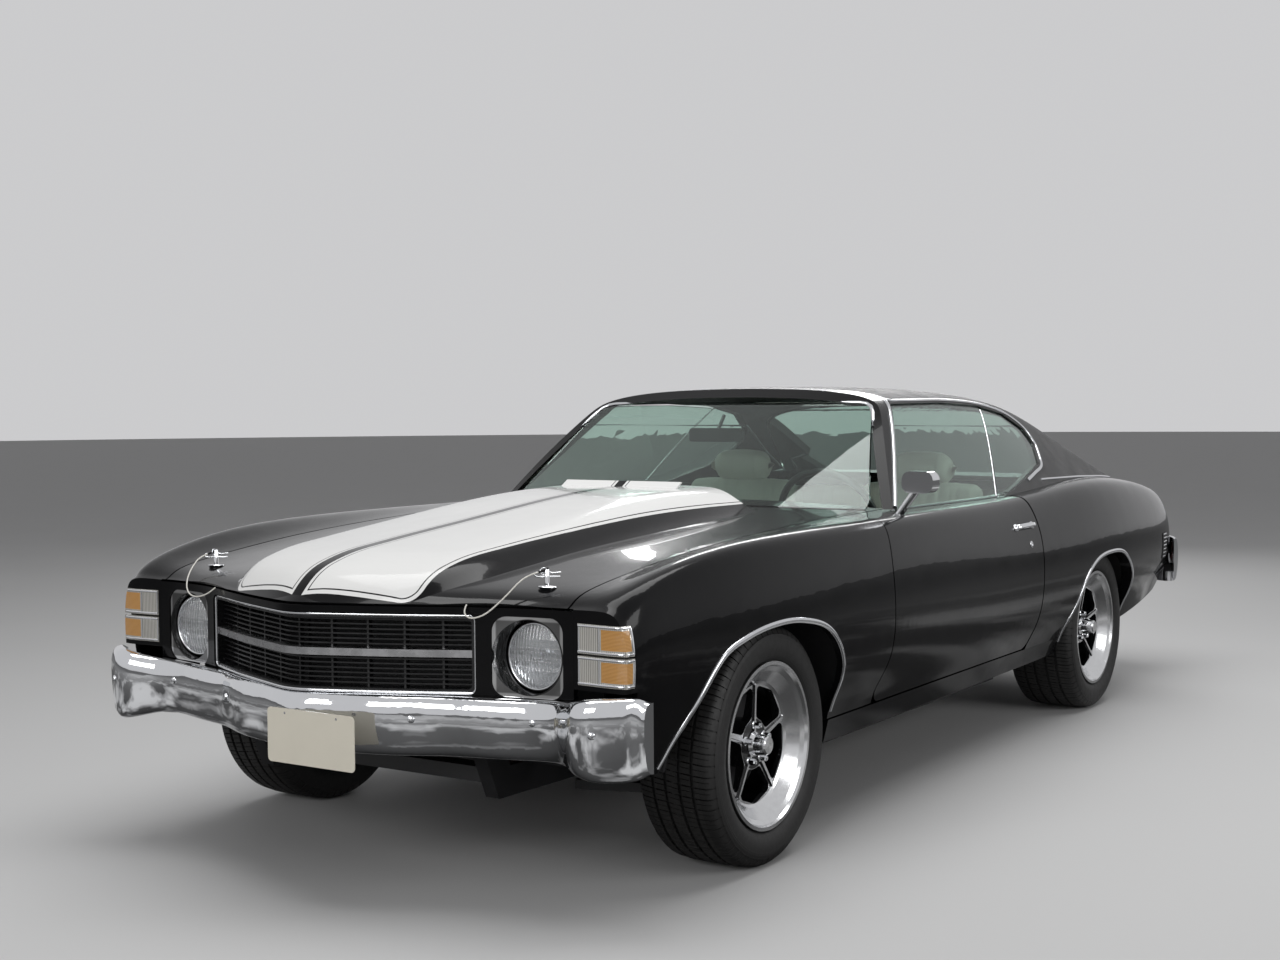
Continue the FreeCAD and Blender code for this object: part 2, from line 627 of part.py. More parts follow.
# Cowl between hood and windshield, with the hinge pillars below it
cowlRear = 470.0
pillarDepth = 135.0
pillarFront = doorFront + pillarDepth
pillarOuter = 840.0
pillarTop = 880.0
firewallSet = 165.0
firewallBack = doorFront + firewallSet
firewallTop = 885.0
clearHalf = hoodHalf + panelGap
clearCurve = Part.Arc(
    vec(hoodRearSide - panelGap, -clearHalf, pillarTop), vec(hoodRearMiddle - panelGap, 0, pillarTop),
    vec(hoodRearSide - panelGap, clearHalf, pillarTop))
clearCorners = [
    vec(hoodRearSide - panelGap, clearHalf, pillarTop), vec(farOut, clearHalf, pillarTop),
    vec(farOut, -clearHalf, pillarTop), vec(hoodRearSide - panelGap, -clearHalf, pillarTop)]
clearWire = Part.Wire([clearCurve.toShape(), Part.makePolygon(clearCorners)])
hoodClear = Part.Face(clearWire).extrude(vec(0, 0, high))
cowl = sheet.common(between(cowlRear, doorFront, -cabinHalf, cabinHalf, sillTop, high))
hingePillar = between(doorFront + panelGap, pillarFront, cabinHalf, pillarOuter, sillTop, pillarTop)
cowlSide = between(cowlRear, firewallBack, sillInner, cabinHalf, sillTop, pillarTop)
cowlBridge = between(cowlRear, doorFront, sillInner, cabinHalf, pillarTop - wallThickness, high)
cowlBridge = cowlBridge.common(outerBody)
kickPanel = cowlSide.cut(between(0, doorFront + panelGap, 0, farOut, 0, pillarTop - wallThickness))
cowlPieces = [cowl]
for piece in (hingePillar, kickPanel, cowlBridge):
    cowlPieces.append(piece)
    cowlPieces.append(mirrored(piece))
cowl = fuseAll(cowlPieces).cut(hoodClear)
save(cowl, "cowl_panel")

# Doors: slabs as thick as the whole door, with a bevelled rear edge to swing clear
doorOutline = (
    (doorRear, high), (doorRear, sillTop + panelGap), (doorFront, sillTop + panelGap), (doorFront, high))
doorSlab = prismY(doorOutline, doorInner, farOut, doorCornerRadius)
door = outerBody.common(doorSlab)
bevel = prismZ((
    (doorRear - panelGap, doorInner - panelGap), (doorRear + doorBevel, doorInner - panelGap),
    (doorRear, halfWidth)), 0, high)
door = door.cut(bevel)
save(door, "door_left")
save(mirrored(door), "door_right")

# Sills below the doors
sillFrontShare = 1.27
sillRearShare = 1.13
sillFront = frontAxle - tyreRadius * sillFrontShare
sillRear = rearAxle + tyreRadius * sillRearShare
sill = outerBody.common(between(sillRear, sillFront, sillInner, farOut, 0, sillTop))
save(pair(sill.cut(frontArch).cut(rearArch).cut(steerSpace)), "rockers")

# Rear quarters, thick beside the rear seat
jamb = doorRear - panelGap
rearNotchX = -2335.0
rearNotchZ = 646.0
trimSet = 20.0
tailDepth = 100.0
trimEnd = rearAxle + rearHouseRadius + trimSet
quarterPlan = (
    (jamb, cabinHalf + panelGap), (quarterTopSplit, cabinHalf + panelGap),
    (quarterTopSplit, lidHalf + panelGap), (-farOut, lidHalf + panelGap),
    (-farOut, farOut), (jamb, farOut))
quarterRegion = prismZ(quarterPlan, 0, high)
quarterRegion = quarterRegion.cut(between(-farOut, tailDepth - tailRear, 0, tailHalf + seatGap, 0, lidEdge))
quarterRegion = quarterRegion.cut(between(-farOut, rearNotchX, 0, farOut, 0, rearNotchZ))
quarterRegion = quarterRegion.cut(between(sillRear - panelGap, 0, 0, farOut, 0, sillTop + seatGap))
sideTrim = outerBody.common(between(trimEnd, jamb, cabinHalf + panelGap, farOut, sillTop + seatGap, high))
quarter = wall.common(quarterRegion).fuse(sideTrim).cut(rearArch)
quarter = quarter.cut(rearSpace.common(wallCore))
save(pair(quarter), "quarter_panels")

# Trunk lid, tail panel and the deck under the rear glass
lid = sheet.common(between(-farOut, lidFront, -lidHalf, lidHalf, lidEdge, high))
save(lid, "trunk_lid")
tailFloor = 646.0
tailTop = lidEdge - panelGap
tail = sheet.common(between(-farOut, tailDepth - tailRear, -tailHalf, tailHalf, tailFloor, tailTop))
# Two rubber stops under the rear edge of the lid
lidStopX = -2396.0
lidStopY = 400.0
lidStopRadius = 10.0
lidStopFoot = 770.0
stopFoot = between(-tailRear + sheetThickness, lidStopX + lidStopRadius, lidStopY - lidStopRadius,
                   lidStopY + lidStopRadius, lidStopFoot, lidEdge - panelGap * 2)
lidStop = rod(vec(lidStopX, lidStopY, lidStopFoot), vec(lidStopX, lidStopY, high), lidStopRadius)
lidLow = lid.copy()
lidLow.translate(vec(0, 0, -seatGap))
lidStop = min(lidStop.cut(lidLow).Solids, key=lambda piece: piece.BoundBox.ZMin)
tail = fuseAll([tail, stopFoot, mirrored(stopFoot), lidStop, mirrored(lidStop)])
save(tail, "tail_panel")
deckFront = -1180.0
deck = sheet.common(between(lidFront + panelGap, deckFront, -lidHalf, lidHalf, sillTop, high))
save(deck, "rear_deck")

# Roof with its sail pillars, as a second smooth skin above the body
hatStationShares = (
    0.1993, 0.1196, 0.0498, 0, -0.0698, -0.1395, -0.1993, -0.2492, -0.299, -0.3488, -0.3986,
    -0.4385,
)
hatZShares = (
    (0.9656, 0.9768, 0.991, 1, 1.003, 0.9955, 0.9731, 0.9281, 0.8608, 0.7859, 0.7111, 0.6587),
    (0.9611, 0.9723, 0.9865, 0.9955, 0.9985, 0.991, 0.9686, 0.9237, 0.857, 0.7829, 0.7088, 0.6572),
    (0.9491, 0.9603, 0.9746, 0.9835, 0.9865, 0.979, 0.9566, 0.9117, 0.8458, 0.7747, 0.7036, 0.6542),
    (0.9356, 0.9446, 0.9551, 0.9656, 0.9701, 0.9633, 0.9401, 0.8892, 0.8204, 0.7515, 0.6849, 0.6422),
    (0.9094, 0.9177, 0.9281, 0.9386, 0.9431, 0.9356, 0.9117, 0.8608, 0.7949, 0.7298, 0.6662, 0.6257),
    (0.8159, 0.8196, 0.8234, 0.8271, 0.8293, 0.8249, 0.8084, 0.7784, 0.7373, 0.6924, 0.6452, 0.61),
    (0.6961, 0.6976, 0.6999, 0.7013, 0.7021, 0.7021, 0.7006, 0.6961, 0.6811, 0.6587, 0.6287, 0.5988),
    (0.6287, 0.6287, 0.6287, 0.6287, 0.6287, 0.6287, 0.6287, 0.625, 0.6175, 0.6063, 0.5913, 0.5763),
)
hatYShares = (
    (0, 0, 0, 0, 0, 0, 0, 0, 0, 0, 0, 0),
    (0.3133, 0.3133, 0.3133, 0.3133, 0.3133, 0.3133, 0.3133, 0.3133, 0.3133, 0.3133, 0.3133, 0.3133),
    (0.4856, 0.4888, 0.4909, 0.493, 0.495, 0.495, 0.495, 0.4992, 0.5055, 0.5117, 0.518, 0.5222),
    (0.5849, 0.5901, 0.6005, 0.6057, 0.6078, 0.6057, 0.611, 0.6371, 0.6789, 0.7258, 0.7728, 0.799),
    (0.6266, 0.6329, 0.6413, 0.6475, 0.6496, 0.6496, 0.6559, 0.6789, 0.7164, 0.7582, 0.7979, 0.8198),
    (0.7311, 0.7342, 0.7373, 0.7394, 0.7415, 0.7436, 0.7478, 0.754, 0.7687, 0.7916, 0.8167, 0.8334),
    (0.8272, 0.8272, 0.8272, 0.8272, 0.8272, 0.8292, 0.8324, 0.8355, 0.8376, 0.8397, 0.8418, 0.8439),
    (0.8773, 0.8773, 0.8773, 0.8773, 0.8773, 0.8773, 0.8794, 0.8825, 0.8836, 0.8836, 0.8836, 0.8836),
)
hatInsetYShares = (0, 0, 0, 0.5, 0.8, 1, 1, 1)
hatInsetZShares = (1, 1, 1, 0.9, 0.6, 0.5, 0, 0)


def hatSolid(inset):
    rows = []
    for station, share in enumerate(hatStationShares):
        row = []
        for line in range(len(hatYShares)):
            y = alongY(hatYShares[line][station]) - inset * hatInsetYShares[line]
            z = alongZ(hatZShares[line][station]) - inset * hatInsetZShares[line]
            row.append(vec(alongX(share), max(y, 0), z))
        rows.append([vec(p.x, -p.y, p.z) for p in reversed(row[1:])] + row)
    return skinSolid(rows)


# Raked glass surfaces: a curved line at the foot and a straight one at the head
shieldFootZShare = 0.6362
shieldHeadZShare = 1.0067
shieldPlanYShares = (-0.9922, -0.752, -0.4178, 0, 0.4178, 0.752, 0.9922)
shieldFootShares = (0.1017, 0.1282, 0.1519, 0.1626, 0.1519, 0.1282, 0.1017)
shieldHeadShares = (0.0191, 0.0201, 0.0207, 0.0209, 0.0207, 0.0201, 0.0191)
backFootShares = (-0.3369, -0.3492, -0.36, -0.3642, -0.36, -0.3492, -0.3369)
backHeadShares = (-0.167, -0.1686, -0.1696, -0.1698, -0.1696, -0.1686, -0.167)
shieldSlopeShare = 0.571
backSlopeShare = 0.455


def rakedSolid(footShares, headShares, shift, away):
    # Everything between a raked glass surface and a plane far away on its other side.
    wires = []
    for zShare, xShares in ((shieldFootZShare, footShares), (shieldHeadZShare, headShares)):
        z = alongZ(zShare)
        points = [vec(alongX(x) + shift, alongY(y), z) for x, y in zip(xShares, shieldPlanYShares)]
        curve = Part.BSplineCurve()
        curve.interpolate(points)
        ends = [vec(away, points[-1].y, z), vec(away, points[0].y, z)]
        sides = [Part.makeLine(points[-1], ends[0]), Part.makeLine(ends[0], ends[1])]
        sides.append(Part.makeLine(ends[1], points[0]))
        wires.append(Part.Wire([curve.toShape()] + sides))
    return Part.makeLoft(wires, True, True)


pillarThickness = 60.0
frameDepth = pillarThickness / shieldSlopeShare
shieldIn = rakedSolid(shieldFootShares, shieldHeadShares, 0, -farOut)
shieldFrameIn = rakedSolid(shieldFootShares, shieldHeadShares, -frameDepth, -farOut)
shieldGlassIn = rakedSolid(shieldFootShares, shieldHeadShares, -glassThickness / shieldSlopeShare, -farOut)
backIn = rakedSolid(backFootShares, backHeadShares, 0, farOut)
backGlassIn = rakedSolid(backFootShares, backHeadShares, glassThickness / backSlopeShare, farOut)
bodyBelow = outerBody.copy()
bodyBelow.translate(vec(0, 0, seatGap))

hatOuter = hatSolid(0)
hatShell = hatOuter.cut(hatSolid(roofThickness)).cut(bodyBelow)
shieldOutlineShares = ((-0.7708, 0.6737), (0.7708, 0.6737), (0.5922, 0.9491), (-0.5922, 0.9491))
shieldCorner = 40.0
shieldOpening = prismX(scaled(shieldOutlineShares), 0, farOut, shieldCorner)
sideOutlineShares = (
    (0.0987, 0.6774), (0.0977, 0.6961), (0.0207, 0.9499), (-0.0598, 0.9521), (-0.1316, 0.9416),
    (-0.1794, 0.9147), (-0.2063, 0.8683), (-0.2113, 0.8234), (-0.1963, 0.7635), (-0.1515, 0.7275),
    (-0.1042, 0.6924), (-0.0757, 0.6774),
)
sidePoints = [vec(x, 0, z) for x, z in profile(sideOutlineShares)]
sideFace = Part.Face(ring(sidePoints, shieldCorner / 2))
sideReachShare = 0.4
sideReach = alongY(sideReachShare)


def sidePrism(inset):
    # The side window opening, shrunk by an inset, as a tool across the left side.
    face = sideFace.makeOffset2D(-inset) if inset else sideFace
    tool = face.extrude(vec(0, farOut, 0))
    tool.translate(vec(0, sideReach, 0))
    return tool


sideOpening = sidePrism(0)
wedgeOutlineShares = ((-0.6914, 0.6737), (0.6914, 0.6737), (0.5692, 0.9731), (-0.5692, 0.9731))
wedgeFrontShare = -0.12
backWedge = prismX(scaled(wedgeOutlineShares), -farOut, alongX(wedgeFrontShare)).cut(backIn)

doorTopClear = 924.0
shieldFrame = hatShell.common(shieldIn).cut(shieldFrameIn).cut(shieldOpening)
shieldFrame = shieldFrame.cut(sideOpening).cut(mirrored(sideOpening))
doorSwing = between(cowlRear, doorFront, doorInner, farOut, 0, doorTopClear)
shieldFrame = shieldFrame.cut(doorSwing).cut(mirrored(doorSwing))
save(shieldFrame, "windshield_frame")
roof = hatShell.common(shieldFrameIn).cut(sideOpening).cut(mirrored(sideOpening)).cut(backWedge)
roof = roof.cut(between(-farOut, lidFront + panelGap, -lidHalf - panelGap, lidHalf + panelGap, 0, high))
save(roof, "roof")

innerHat = hatSolid(roofThickness + seatGap)
shieldFit = prismX(scaled(shieldOutlineShares), 0, farOut, shieldCorner)
windshield = hatOuter.common(shieldIn).cut(shieldGlassIn).common(shieldFit).cut(bodyBelow)
save(windshield, "windshield")
rearGlass = innerHat.common(backIn).cut(backGlassIn).cut(bodyBelow).common(
    between(-farOut, 0, -farOut, farOut, 0, high))

sideGlassOut = hatSolid(glassThickness)
sideGlassIn = hatSolid(glassThickness * 2)
sidePane = sideGlassOut.cut(sideGlassIn)
doorGlassInset = 7.5
doorSide = prismY(
    profile(((0.1595, 0), (0.1595, 1), (-0.1531, 1), (-0.0777, 0.6819), (-0.0777, 0))), 0, farOut,
)
doorGlass = sidePane.common(sidePrism(doorGlassInset)).common(doorSide).cut(bodyBelow)
save(doorGlass, "door_glass_left")
save(mirrored(doorGlass), "door_glass_right")
quarterSide = prismY(
    profile(((-0.0829, 0.6946), (-0.1551, 1), (-0.3189, 1), (-0.3189, 0), (-0.1043, 0),
    (-0.1043, 0.6946))), 0, farOut,
)
quarterGlass = sidePane.common(sidePrism(seatGap)).common(quarterSide).cut(bodyBelow)
save(Part.makeCompound([rearGlass, quarterGlass, mirrored(quarterGlass)]), "rear_glass")

# Floor, firewall, seat step, trunk floor and rear wheel houses in one pressing
innerBody = skinSolid(bodyRows(wallThickness + seatGap, openBelow))
innerBody = innerBody.common(planSolid(wallThickness + seatGap, wallThickness + seatGap))
panThickness = 12.0
floorLevel = 276.0
trunkLevel = 490.0
floorFootSet = 20.0
stepSet = 130.0
stepLean = 40.0
toeRise = 160.0
floorEndSet = 60.0
floorFoot = doorFront + floorFootSet
firewallTopZ = 840.0
stepX = rearAxle + rearHouseRadius + stepSet
tunnelRadius = 150.0
tunnelZ = 335.0
floorLine = (
    (firewallBack, firewallTopZ), (firewallBack, floorLevel + toeRise), (floorFoot, floorLevel),
    (stepX, floorLevel), (stepX - stepLean, trunkLevel), (floorEndSet - tailRear, trunkLevel))


def band(line, thickness, forwardPoints):
    # A folded sheet: the line, and the same line set down and away from its own bends.
    below = []
    for index, (x, z) in enumerate(line):
        away = thickness if index < forwardPoints else -thickness
        below.append((x + away, z - thickness))
    return list(line) + below[::-1]


toePoints = 3
axleSpaceRadius = 75.0
pan = prismY(band(floorLine, panThickness, toePoints), -cabinHalf + seatGap, cabinHalf - seatGap)
panSides = between(stepX + panThickness, farOut, sillInner - seatGap, farOut, 0, high)
panSides = panSides.fuse(between(-farOut, trimEnd, rearHouseInner, farOut, 0, high))
panSides = panSides.fuse(between(-farOut, farOut, sillInner - seatGap, farOut, 0, sillTop + seatGap))
pan = pan.cut(panSides).cut(mirrored(panSides))
bulkheadX = -1357.0
bulkheadTop = 930.0
bulkhead = between(bulkheadX, bulkheadX + panThickness, -rearHouseInner, rearHouseInner,
                   trunkLevel - panThickness / 2, bulkheadTop)
tunnelLap = 60.0
tunnelEndLap = 20.0
tunnelStart = stepX - tunnelLap
tunnelOuter = Part.makeCylinder(tunnelRadius, farOut, vec(tunnelStart, 0, tunnelZ), forward)
tunnelInner = Part.makeCylinder(tunnelRadius - panThickness, farOut, vec(tunnelStart, 0, tunnelZ), forward)
tunnelKeep = between(stepX - tunnelEndLap, firewallBack, -farOut, farOut, floorLevel, high)
tunnel = tunnelOuter.cut(tunnelInner).common(tunnelKeep)
tunnelHollow = tunnelInner.common(between(tunnelStart, farOut, -farOut, farOut, 0, high))
rearHouse = Part.makeCylinder(rearHouseRadius + panThickness, farOut,
                              vec(rearAxle, rearHouseInner - panThickness, tyreRadius), across)
rearHouse = rearHouse.cut(rearSpace)
houseKeep = between(-farOut, 0, 0, halfWidth, tyreRadius, high)
rearHouse = rearHouse.common(houseKeep).common(innerBody).common(
    between(-farOut, trimEnd - seatGap, 0, farOut, 0, high))
axleSpace = Part.makeCylinder(axleSpaceRadius, 2 * cabinHalf, vec(rearAxle, -cabinHalf, tyreRadius), across)
pan = pan.fuse(bulkhead).cut(tunnelHollow).fuse(tunnel).fuse(rearHouse).fuse(mirrored(rearHouse))
pan = pan.cut(rearSpace).cut(mirrored(rearSpace)).cut(steerSpace).cut(mirrored(steerSpace))
pan = pan.cut(axleSpace)
toeBoard = between(floorFoot + seatGap, farOut, -farOut, farOut, 0, high)
save(pan.common(toeBoard), "firewall")
save(pan.cut(between(floorFoot, farOut, -farOut, farOut, 0, high)), "floor_pan")

# Inner fenders, radiator support and radiator
apronY = 436.0
apronThickness = 10.0
frontWheelRoom = 95.0
supportSet = 500.0
archReachShare = 0.9
houseRadius = tyreRadius + frontWheelRoom
supportX = frontAxle + supportSet
apronBottom = sillTop + seatGap
apronDoorHalf = 130.0
apronDoorTop = 520.0
supportTop = 745.0
radiatorHalf = 330.0
radiatorDepth = 55.0
fenderCore = skinSolid(bodyRows(sheetThickness + seatGap, openBelow))
houseFoot = vec(frontAxle, apronY, tyreRadius)
houseOuter = Part.makeCylinder(houseRadius + apronThickness, farOut, houseFoot, across)
houseInner = Part.makeCylinder(houseRadius, farOut, houseFoot + across * apronThickness, across)
frontHouse = houseOuter.cut(houseInner).common(fenderCore).common(
    between(0, farOut, 0, farOut, apronBottom, high))
frontHouse = frontHouse.cut(archTool(frontAxle, frontArchShares, alongY(archReachShare), farOut))
frontHouse = frontHouse.cut(between(0, firewallBack + panThickness + seatGap, 0, farOut, 0, high))
apronDoor = between(frontAxle - apronDoorHalf, frontAxle + apronDoorHalf, 0, farOut, 0, apronDoorTop)
frontHouse = frontHouse.cut(apronDoor)
apron = between(frontAxle + apronDoorHalf, supportX, apronY, apronY + apronThickness, apronBottom, supportTop)
support = between(supportX, supportX + apronThickness, -sillInner, sillInner, apronBottom, supportTop)
supportHole = between(
    0, farOut, -radiatorHalf, radiatorHalf, apronBottom + wallThickness, supportTop - wallThickness)
radiator = between(
    supportX - radiatorDepth, supportX, -radiatorHalf - apronThickness, radiatorHalf + apronThickness,
    apronBottom + wallThickness / 2, supportTop - wallThickness / 2)
stopY = 560.0
stopRadius = 14.0
stopX = supportX + apronThickness / 2
stopPost = rod(vec(stopX, stopY, supportTop - apronThickness), vec(stopX, stopY, high), stopRadius)
hoodLow = hood.copy()
hoodLow.translate(vec(0, 0, -seatGap))
stopPost = min(stopPost.cut(hoodLow).Solids, key=lambda piece: piece.BoundBox.ZMin)
engineBay = fuseAll([
    stopPost, mirrored(stopPost), frontHouse, apron, mirrored(frontHouse), mirrored(apron),
    support.cut(supportHole), radiator])
save(engineBay, "engine_bay")

# Front bumper: one smooth bar swept through hand-set sections, with taller ends
barDepth = 42.0
bumperFront = bodyLength / 2


# Depth behind the face and drop below the top of a bumper's section
barSectionShares = ((0.3, 0.04), (0.0, 0.3), (0.12, 0.7), (0.55, 0.97))


def barSection(y, face, top, bottom, depth, sense):
    # Closed section of a bumper; sense is 1 at the front and -1 at the rear.
    tall = top - bottom
    back = face - depth * sense
    points = [vec(back, y, top)]
    points += [vec(face - depth * deep * sense, y, top - tall * drop) for deep, drop in barSectionShares]
    points.append(vec(back, y, bottom))
    front = Part.BSplineCurve()
    front.interpolate(points)
    return Part.Wire([front.toShape(), Part.makeLine(vec(back, y, bottom), vec(back, y, top))])


frontBarShares = (
    (0, 0, 0.4079, 0.2904), (0.047, 0.0016, 0.4079, 0.2904), (0.1567, 0.0084, 0.4079, 0.2904),
    (0.3342, 0.0203, 0.4072, 0.2904), (0.5222, 0.0325, 0.4064, 0.2912), (0.6371, 0.0387, 0.4064, 0.2919),
    (0.7102, 0.0405, 0.4079, 0.2927), (0.7624, 0.0379, 0.4117, 0.2904), (0.8042, 0.0325, 0.4184, 0.2844),
    (0.8407, 0.0303, 0.4244, 0.2784), (0.8825, 0.0319, 0.4281, 0.274), (0.9243, 0.0367, 0.4289, 0.274),
    (0.9587, 0.0431, 0.4251, 0.2777), (0.9796, 0.0498, 0.4162, 0.2859),
)
rearBarShares = (
    (0, 0, 0.479, 0.3234), (0.047, 0, 0.479, 0.3234), (0.1567, 0.0002, 0.479, 0.3234),
    (0.3342, 0.0008, 0.479, 0.3234), (0.5222, 0.002, 0.479, 0.3219), (0.6684, 0.0036, 0.479, 0.3204),
    (0.7728, 0.006, 0.479, 0.3189), (0.846, 0.0092, 0.479, 0.3174), (0.8982, 0.014, 0.4775, 0.3174),
    (0.9347, 0.0195, 0.4746, 0.3204), (0.9587, 0.0259, 0.4686, 0.3263),
)


def bar(sectionShares, sense, depth):
    wires = []
    for side in (-1, 1):
        order = reversed(sectionShares[1:]) if side < 0 else sectionShares
        for y, back, top, bottom in order:
            face = (bumperFront - alongX(back)) * sense
            wires.append(barSection(alongY(y) * side, face, alongZ(top), alongZ(bottom), depth, sense))
    return Part.makeLoft(wires, True, False)


frontBarSpace = bar(frontBarShares, 1, barDepth + seatGap)
rearBarDepth = 66.0
rearBarSpace = bar(rearBarShares, -1, rearBarDepth + seatGap)

# Perimeter frame
railShares = (-0.1355, 0.1953, 0.6266, 0.6945, 0.1347, 0.1961)
railPieces = [block(railShares)]
frontRailShares = (
    (0.1794, 0.1347), (0.1794, 0.1961), (0.2292, 0.2395), (0.4226, 0.247), (0.4345, 0.3219),
    (0.4505, 0.3743), (0.4604, 0.3743), (0.4604, 0.3219), (0.4445, 0.2844), (0.4325, 0.1871),
    (0.2292, 0.1759), (0.1993, 0.1347),
)
frontRailSideShares = (0.402, 0.448)
frontKneeShares = (0.1794, 0.1963, 0.4021, 0.6945, 0.1347, 0.1961)
frontRailSides = [alongY(share) for share in frontRailSideShares]
railPieces.append(prismY(profile(frontRailShares), *frontRailSides))
railPieces.append(block(frontKneeShares))
rearRailShares = (
    (-0.1196, 0.1347), (-0.1196, 0.1961), (-0.1575, 0.1961), (-0.1933, 0.3548), (-0.3109, 0.3548),
    (-0.3428, 0.2246), (-0.4644, 0.2246), (-0.4644, 0.1722), (-0.3388, 0.1722), (-0.303, 0.3031),
    (-0.2013, 0.3031), (-0.1634, 0.1347),
)
rearRailSideShares = (0.49, 0.555)
rearRailSides = [alongY(share) for share in rearRailSideShares]
railPieces.append(prismY(profile(rearRailShares), *rearRailSides))
braceShares = (
    (-0.1395, -0.1196, 0.4909, 0.6945, 0.1347, 0.1961),
    (0.295, 0.3309, 0.4021, 0.4491, 0.232, 0.3743),
    (0.299, 0.3269, 0.4021, 0.611, 0.3219, 0.3368),
)
railPieces += [block(shares) for shares in braceShares]
crossShares = (
    (0.299, 0.3289, -0.4021, 0.4021, 0.1497, 0.2171),
    (0.0797, 0.0953, -0.6266, 0.6266, 0.1635, 0.1961),
    (-0.1375, -0.1236, -0.4909, 0.4909, 0.1635, 0.1961),
    (-0.4624, -0.4505, -0.4909, 0.4909, 0.1871, 0.2216),
    (0.4226, 0.4345, -0.4021, 0.4021, 0.2171, 0.247),
)
frontHornShares = (0.4485, 0.4674, 0.4021, 0.4491, 0.3219, 0.3743)
rearHornShares = (-0.4903, -0.4564, 0.4992, 0.5452, 0.3263, 0.3548)
hornPostShares = (-0.4644, -0.4564, 0.4992, 0.5452, 0.1796, 0.3548)
hornReach = block(frontHornShares)
railPieces.append(hornReach.cut(frontBarSpace))
rearHorn = block(rearHornShares).cut(rearBarSpace)
railPieces.append(max(rearHorn.Solids, key=lambda piece: piece.BoundBox.XMax))
railPieces.append(block(hornPostShares))
crossPieces = [block(shares) for shares in crossShares]
frameShape = fuseAll(railPieces + [mirrored(piece) for piece in railPieces] + crossPieces)
save(frameShape, "frame")

# Engine as one plain block, and the shafts behind it
engineShares = (0.2372, 0.3448, -0.2611, 0.2611, 0.2246, 0.5988)
save(block(engineShares), "engine_block")
gearRadius = 105.0
shaftRadius = 38.0
axleTube = 42.0
diffRadius = 135.0
gearRear = 480.0
engineRear = alongX(engineShares[0])
shaftZ = tyreRadius
spindleRadius = 25.0
hubDepth = 41.7
drumRadius = 140.0
drumWidth = 60.0
rearDrumFace = rearWheelCentre
gearbox = rod(vec(engineRear - seatGap, 0, shaftZ), vec(gearRear, 0, shaftZ), gearRadius)
shaft = rod(vec(gearRear + panelGap, 0, shaftZ), vec(rearAxle, 0, shaftZ), shaftRadius)
axle = rod(vec(rearAxle, -rearDrumFace, shaftZ), vec(rearAxle, rearDrumFace, shaftZ), axleTube)
diff = Part.makeSphere(diffRadius, vec(rearAxle, 0, shaftZ))
drum = rod(vec(rearAxle, rearDrumFace - drumWidth, shaftZ), vec(rearAxle, rearDrumFace, shaftZ), drumRadius)
rearSpindle = rod(vec(rearAxle, rearDrumFace - panelGap, shaftZ),
                  vec(rearAxle, rearDrumFace + panelGap + hubDepth, shaftZ), spindleRadius)
armRadius = 20.0
armY = 420.0
armReach = 583.0
armFrontZ = 228.0
lowerArm = rod(vec(rearAxle, armY, shaftZ - axleTube), vec(rearAxle + armReach, armY, armFrontZ), armRadius)
springRadius = 48.0
springX = rearAxle + springRadius * 5 / 8
springY = 412.0
springTop = trunkLevel - panThickness - seatGap
spring = rod(vec(springX, springY, shaftZ), vec(springX, springY, springTop), springRadius)
driveline = [gearbox, shaft, axle, diff]
for piece in (drum, rearSpindle, lowerArm, spring):
    driveline.append(piece)
    driveline.append(mirrored(piece))
save(fuseAll(driveline), "driveline")

# Front suspension arms, springs and the steered knuckles
kingpinLean = 0.12
frontDrumFace = frontWheelCentre
ballLowZ = 215.0
ballHighZ = 455.0
ballLow = vec(frontAxle, kingpinY, ballLowZ)
ballHigh = vec(frontAxle, kingpinY, ballHighZ)
armClear = seatGap
postRadius = 26.0
lowPivot = 330.0
towerOuterShare = 0.4491
towerArmShare = 0.3219
highPivot = alongY(towerOuterShare) + seatGap
armSpread = 130.0
armThickness = 26.0
armZLow = 200.0
armZHigh = 470.0
highSpreadShare = 0.8
frontSpringY = 530.0


def wishbone(ball, pivotY, z, spread):
    outline = (
        (ball.x - postRadius, ball.y), (ball.x + postRadius, ball.y),
        (ball.x + spread, pivotY), (ball.x - spread, pivotY))
    return prismZ(outline, z, z + armThickness, postRadius / 2)


lowArm = wishbone(ballLow, lowPivot, armZLow - armThickness - armClear, armSpread)
highArm = wishbone(ballHigh, highPivot, armZHigh + armClear, armSpread * highSpreadShare)
frontSpringFoot = vec(frontAxle, frontSpringY, armZLow - armThickness / 2)
frontSpringHead = vec(frontAxle, frontSpringY, alongZ(towerArmShare) - seatGap)
frontSpring = rod(frontSpringFoot, frontSpringHead, springRadius)
arms = [lowArm.fuse(frontSpring), highArm]
save(Part.makeCompound(arms + [mirrored(piece) for piece in arms]), "front_suspension")
knucklePost = rod(vec(frontAxle, kingpinY, armZLow), vec(frontAxle, kingpinY, armZHigh), postRadius)
knuckleDisc = rod(
    vec(frontAxle, frontDrumFace - drumWidth, shaftZ), vec(frontAxle, frontDrumFace, shaftZ), drumRadius)
knuckleArm = rod(vec(frontAxle, kingpinY, shaftZ), vec(frontAxle, frontDrumFace, shaftZ), axleTube)
frontSpindle = rod(vec(frontAxle, frontDrumFace - panelGap, shaftZ),
                   vec(frontAxle, frontDrumFace + panelGap + hubDepth, shaftZ), spindleRadius)
knuckle = fuseAll([knucklePost, knuckleDisc, knuckleArm, frontSpindle])
save(knuckle, "knuckle_left")
save(mirrored(knuckle), "knuckle_right")

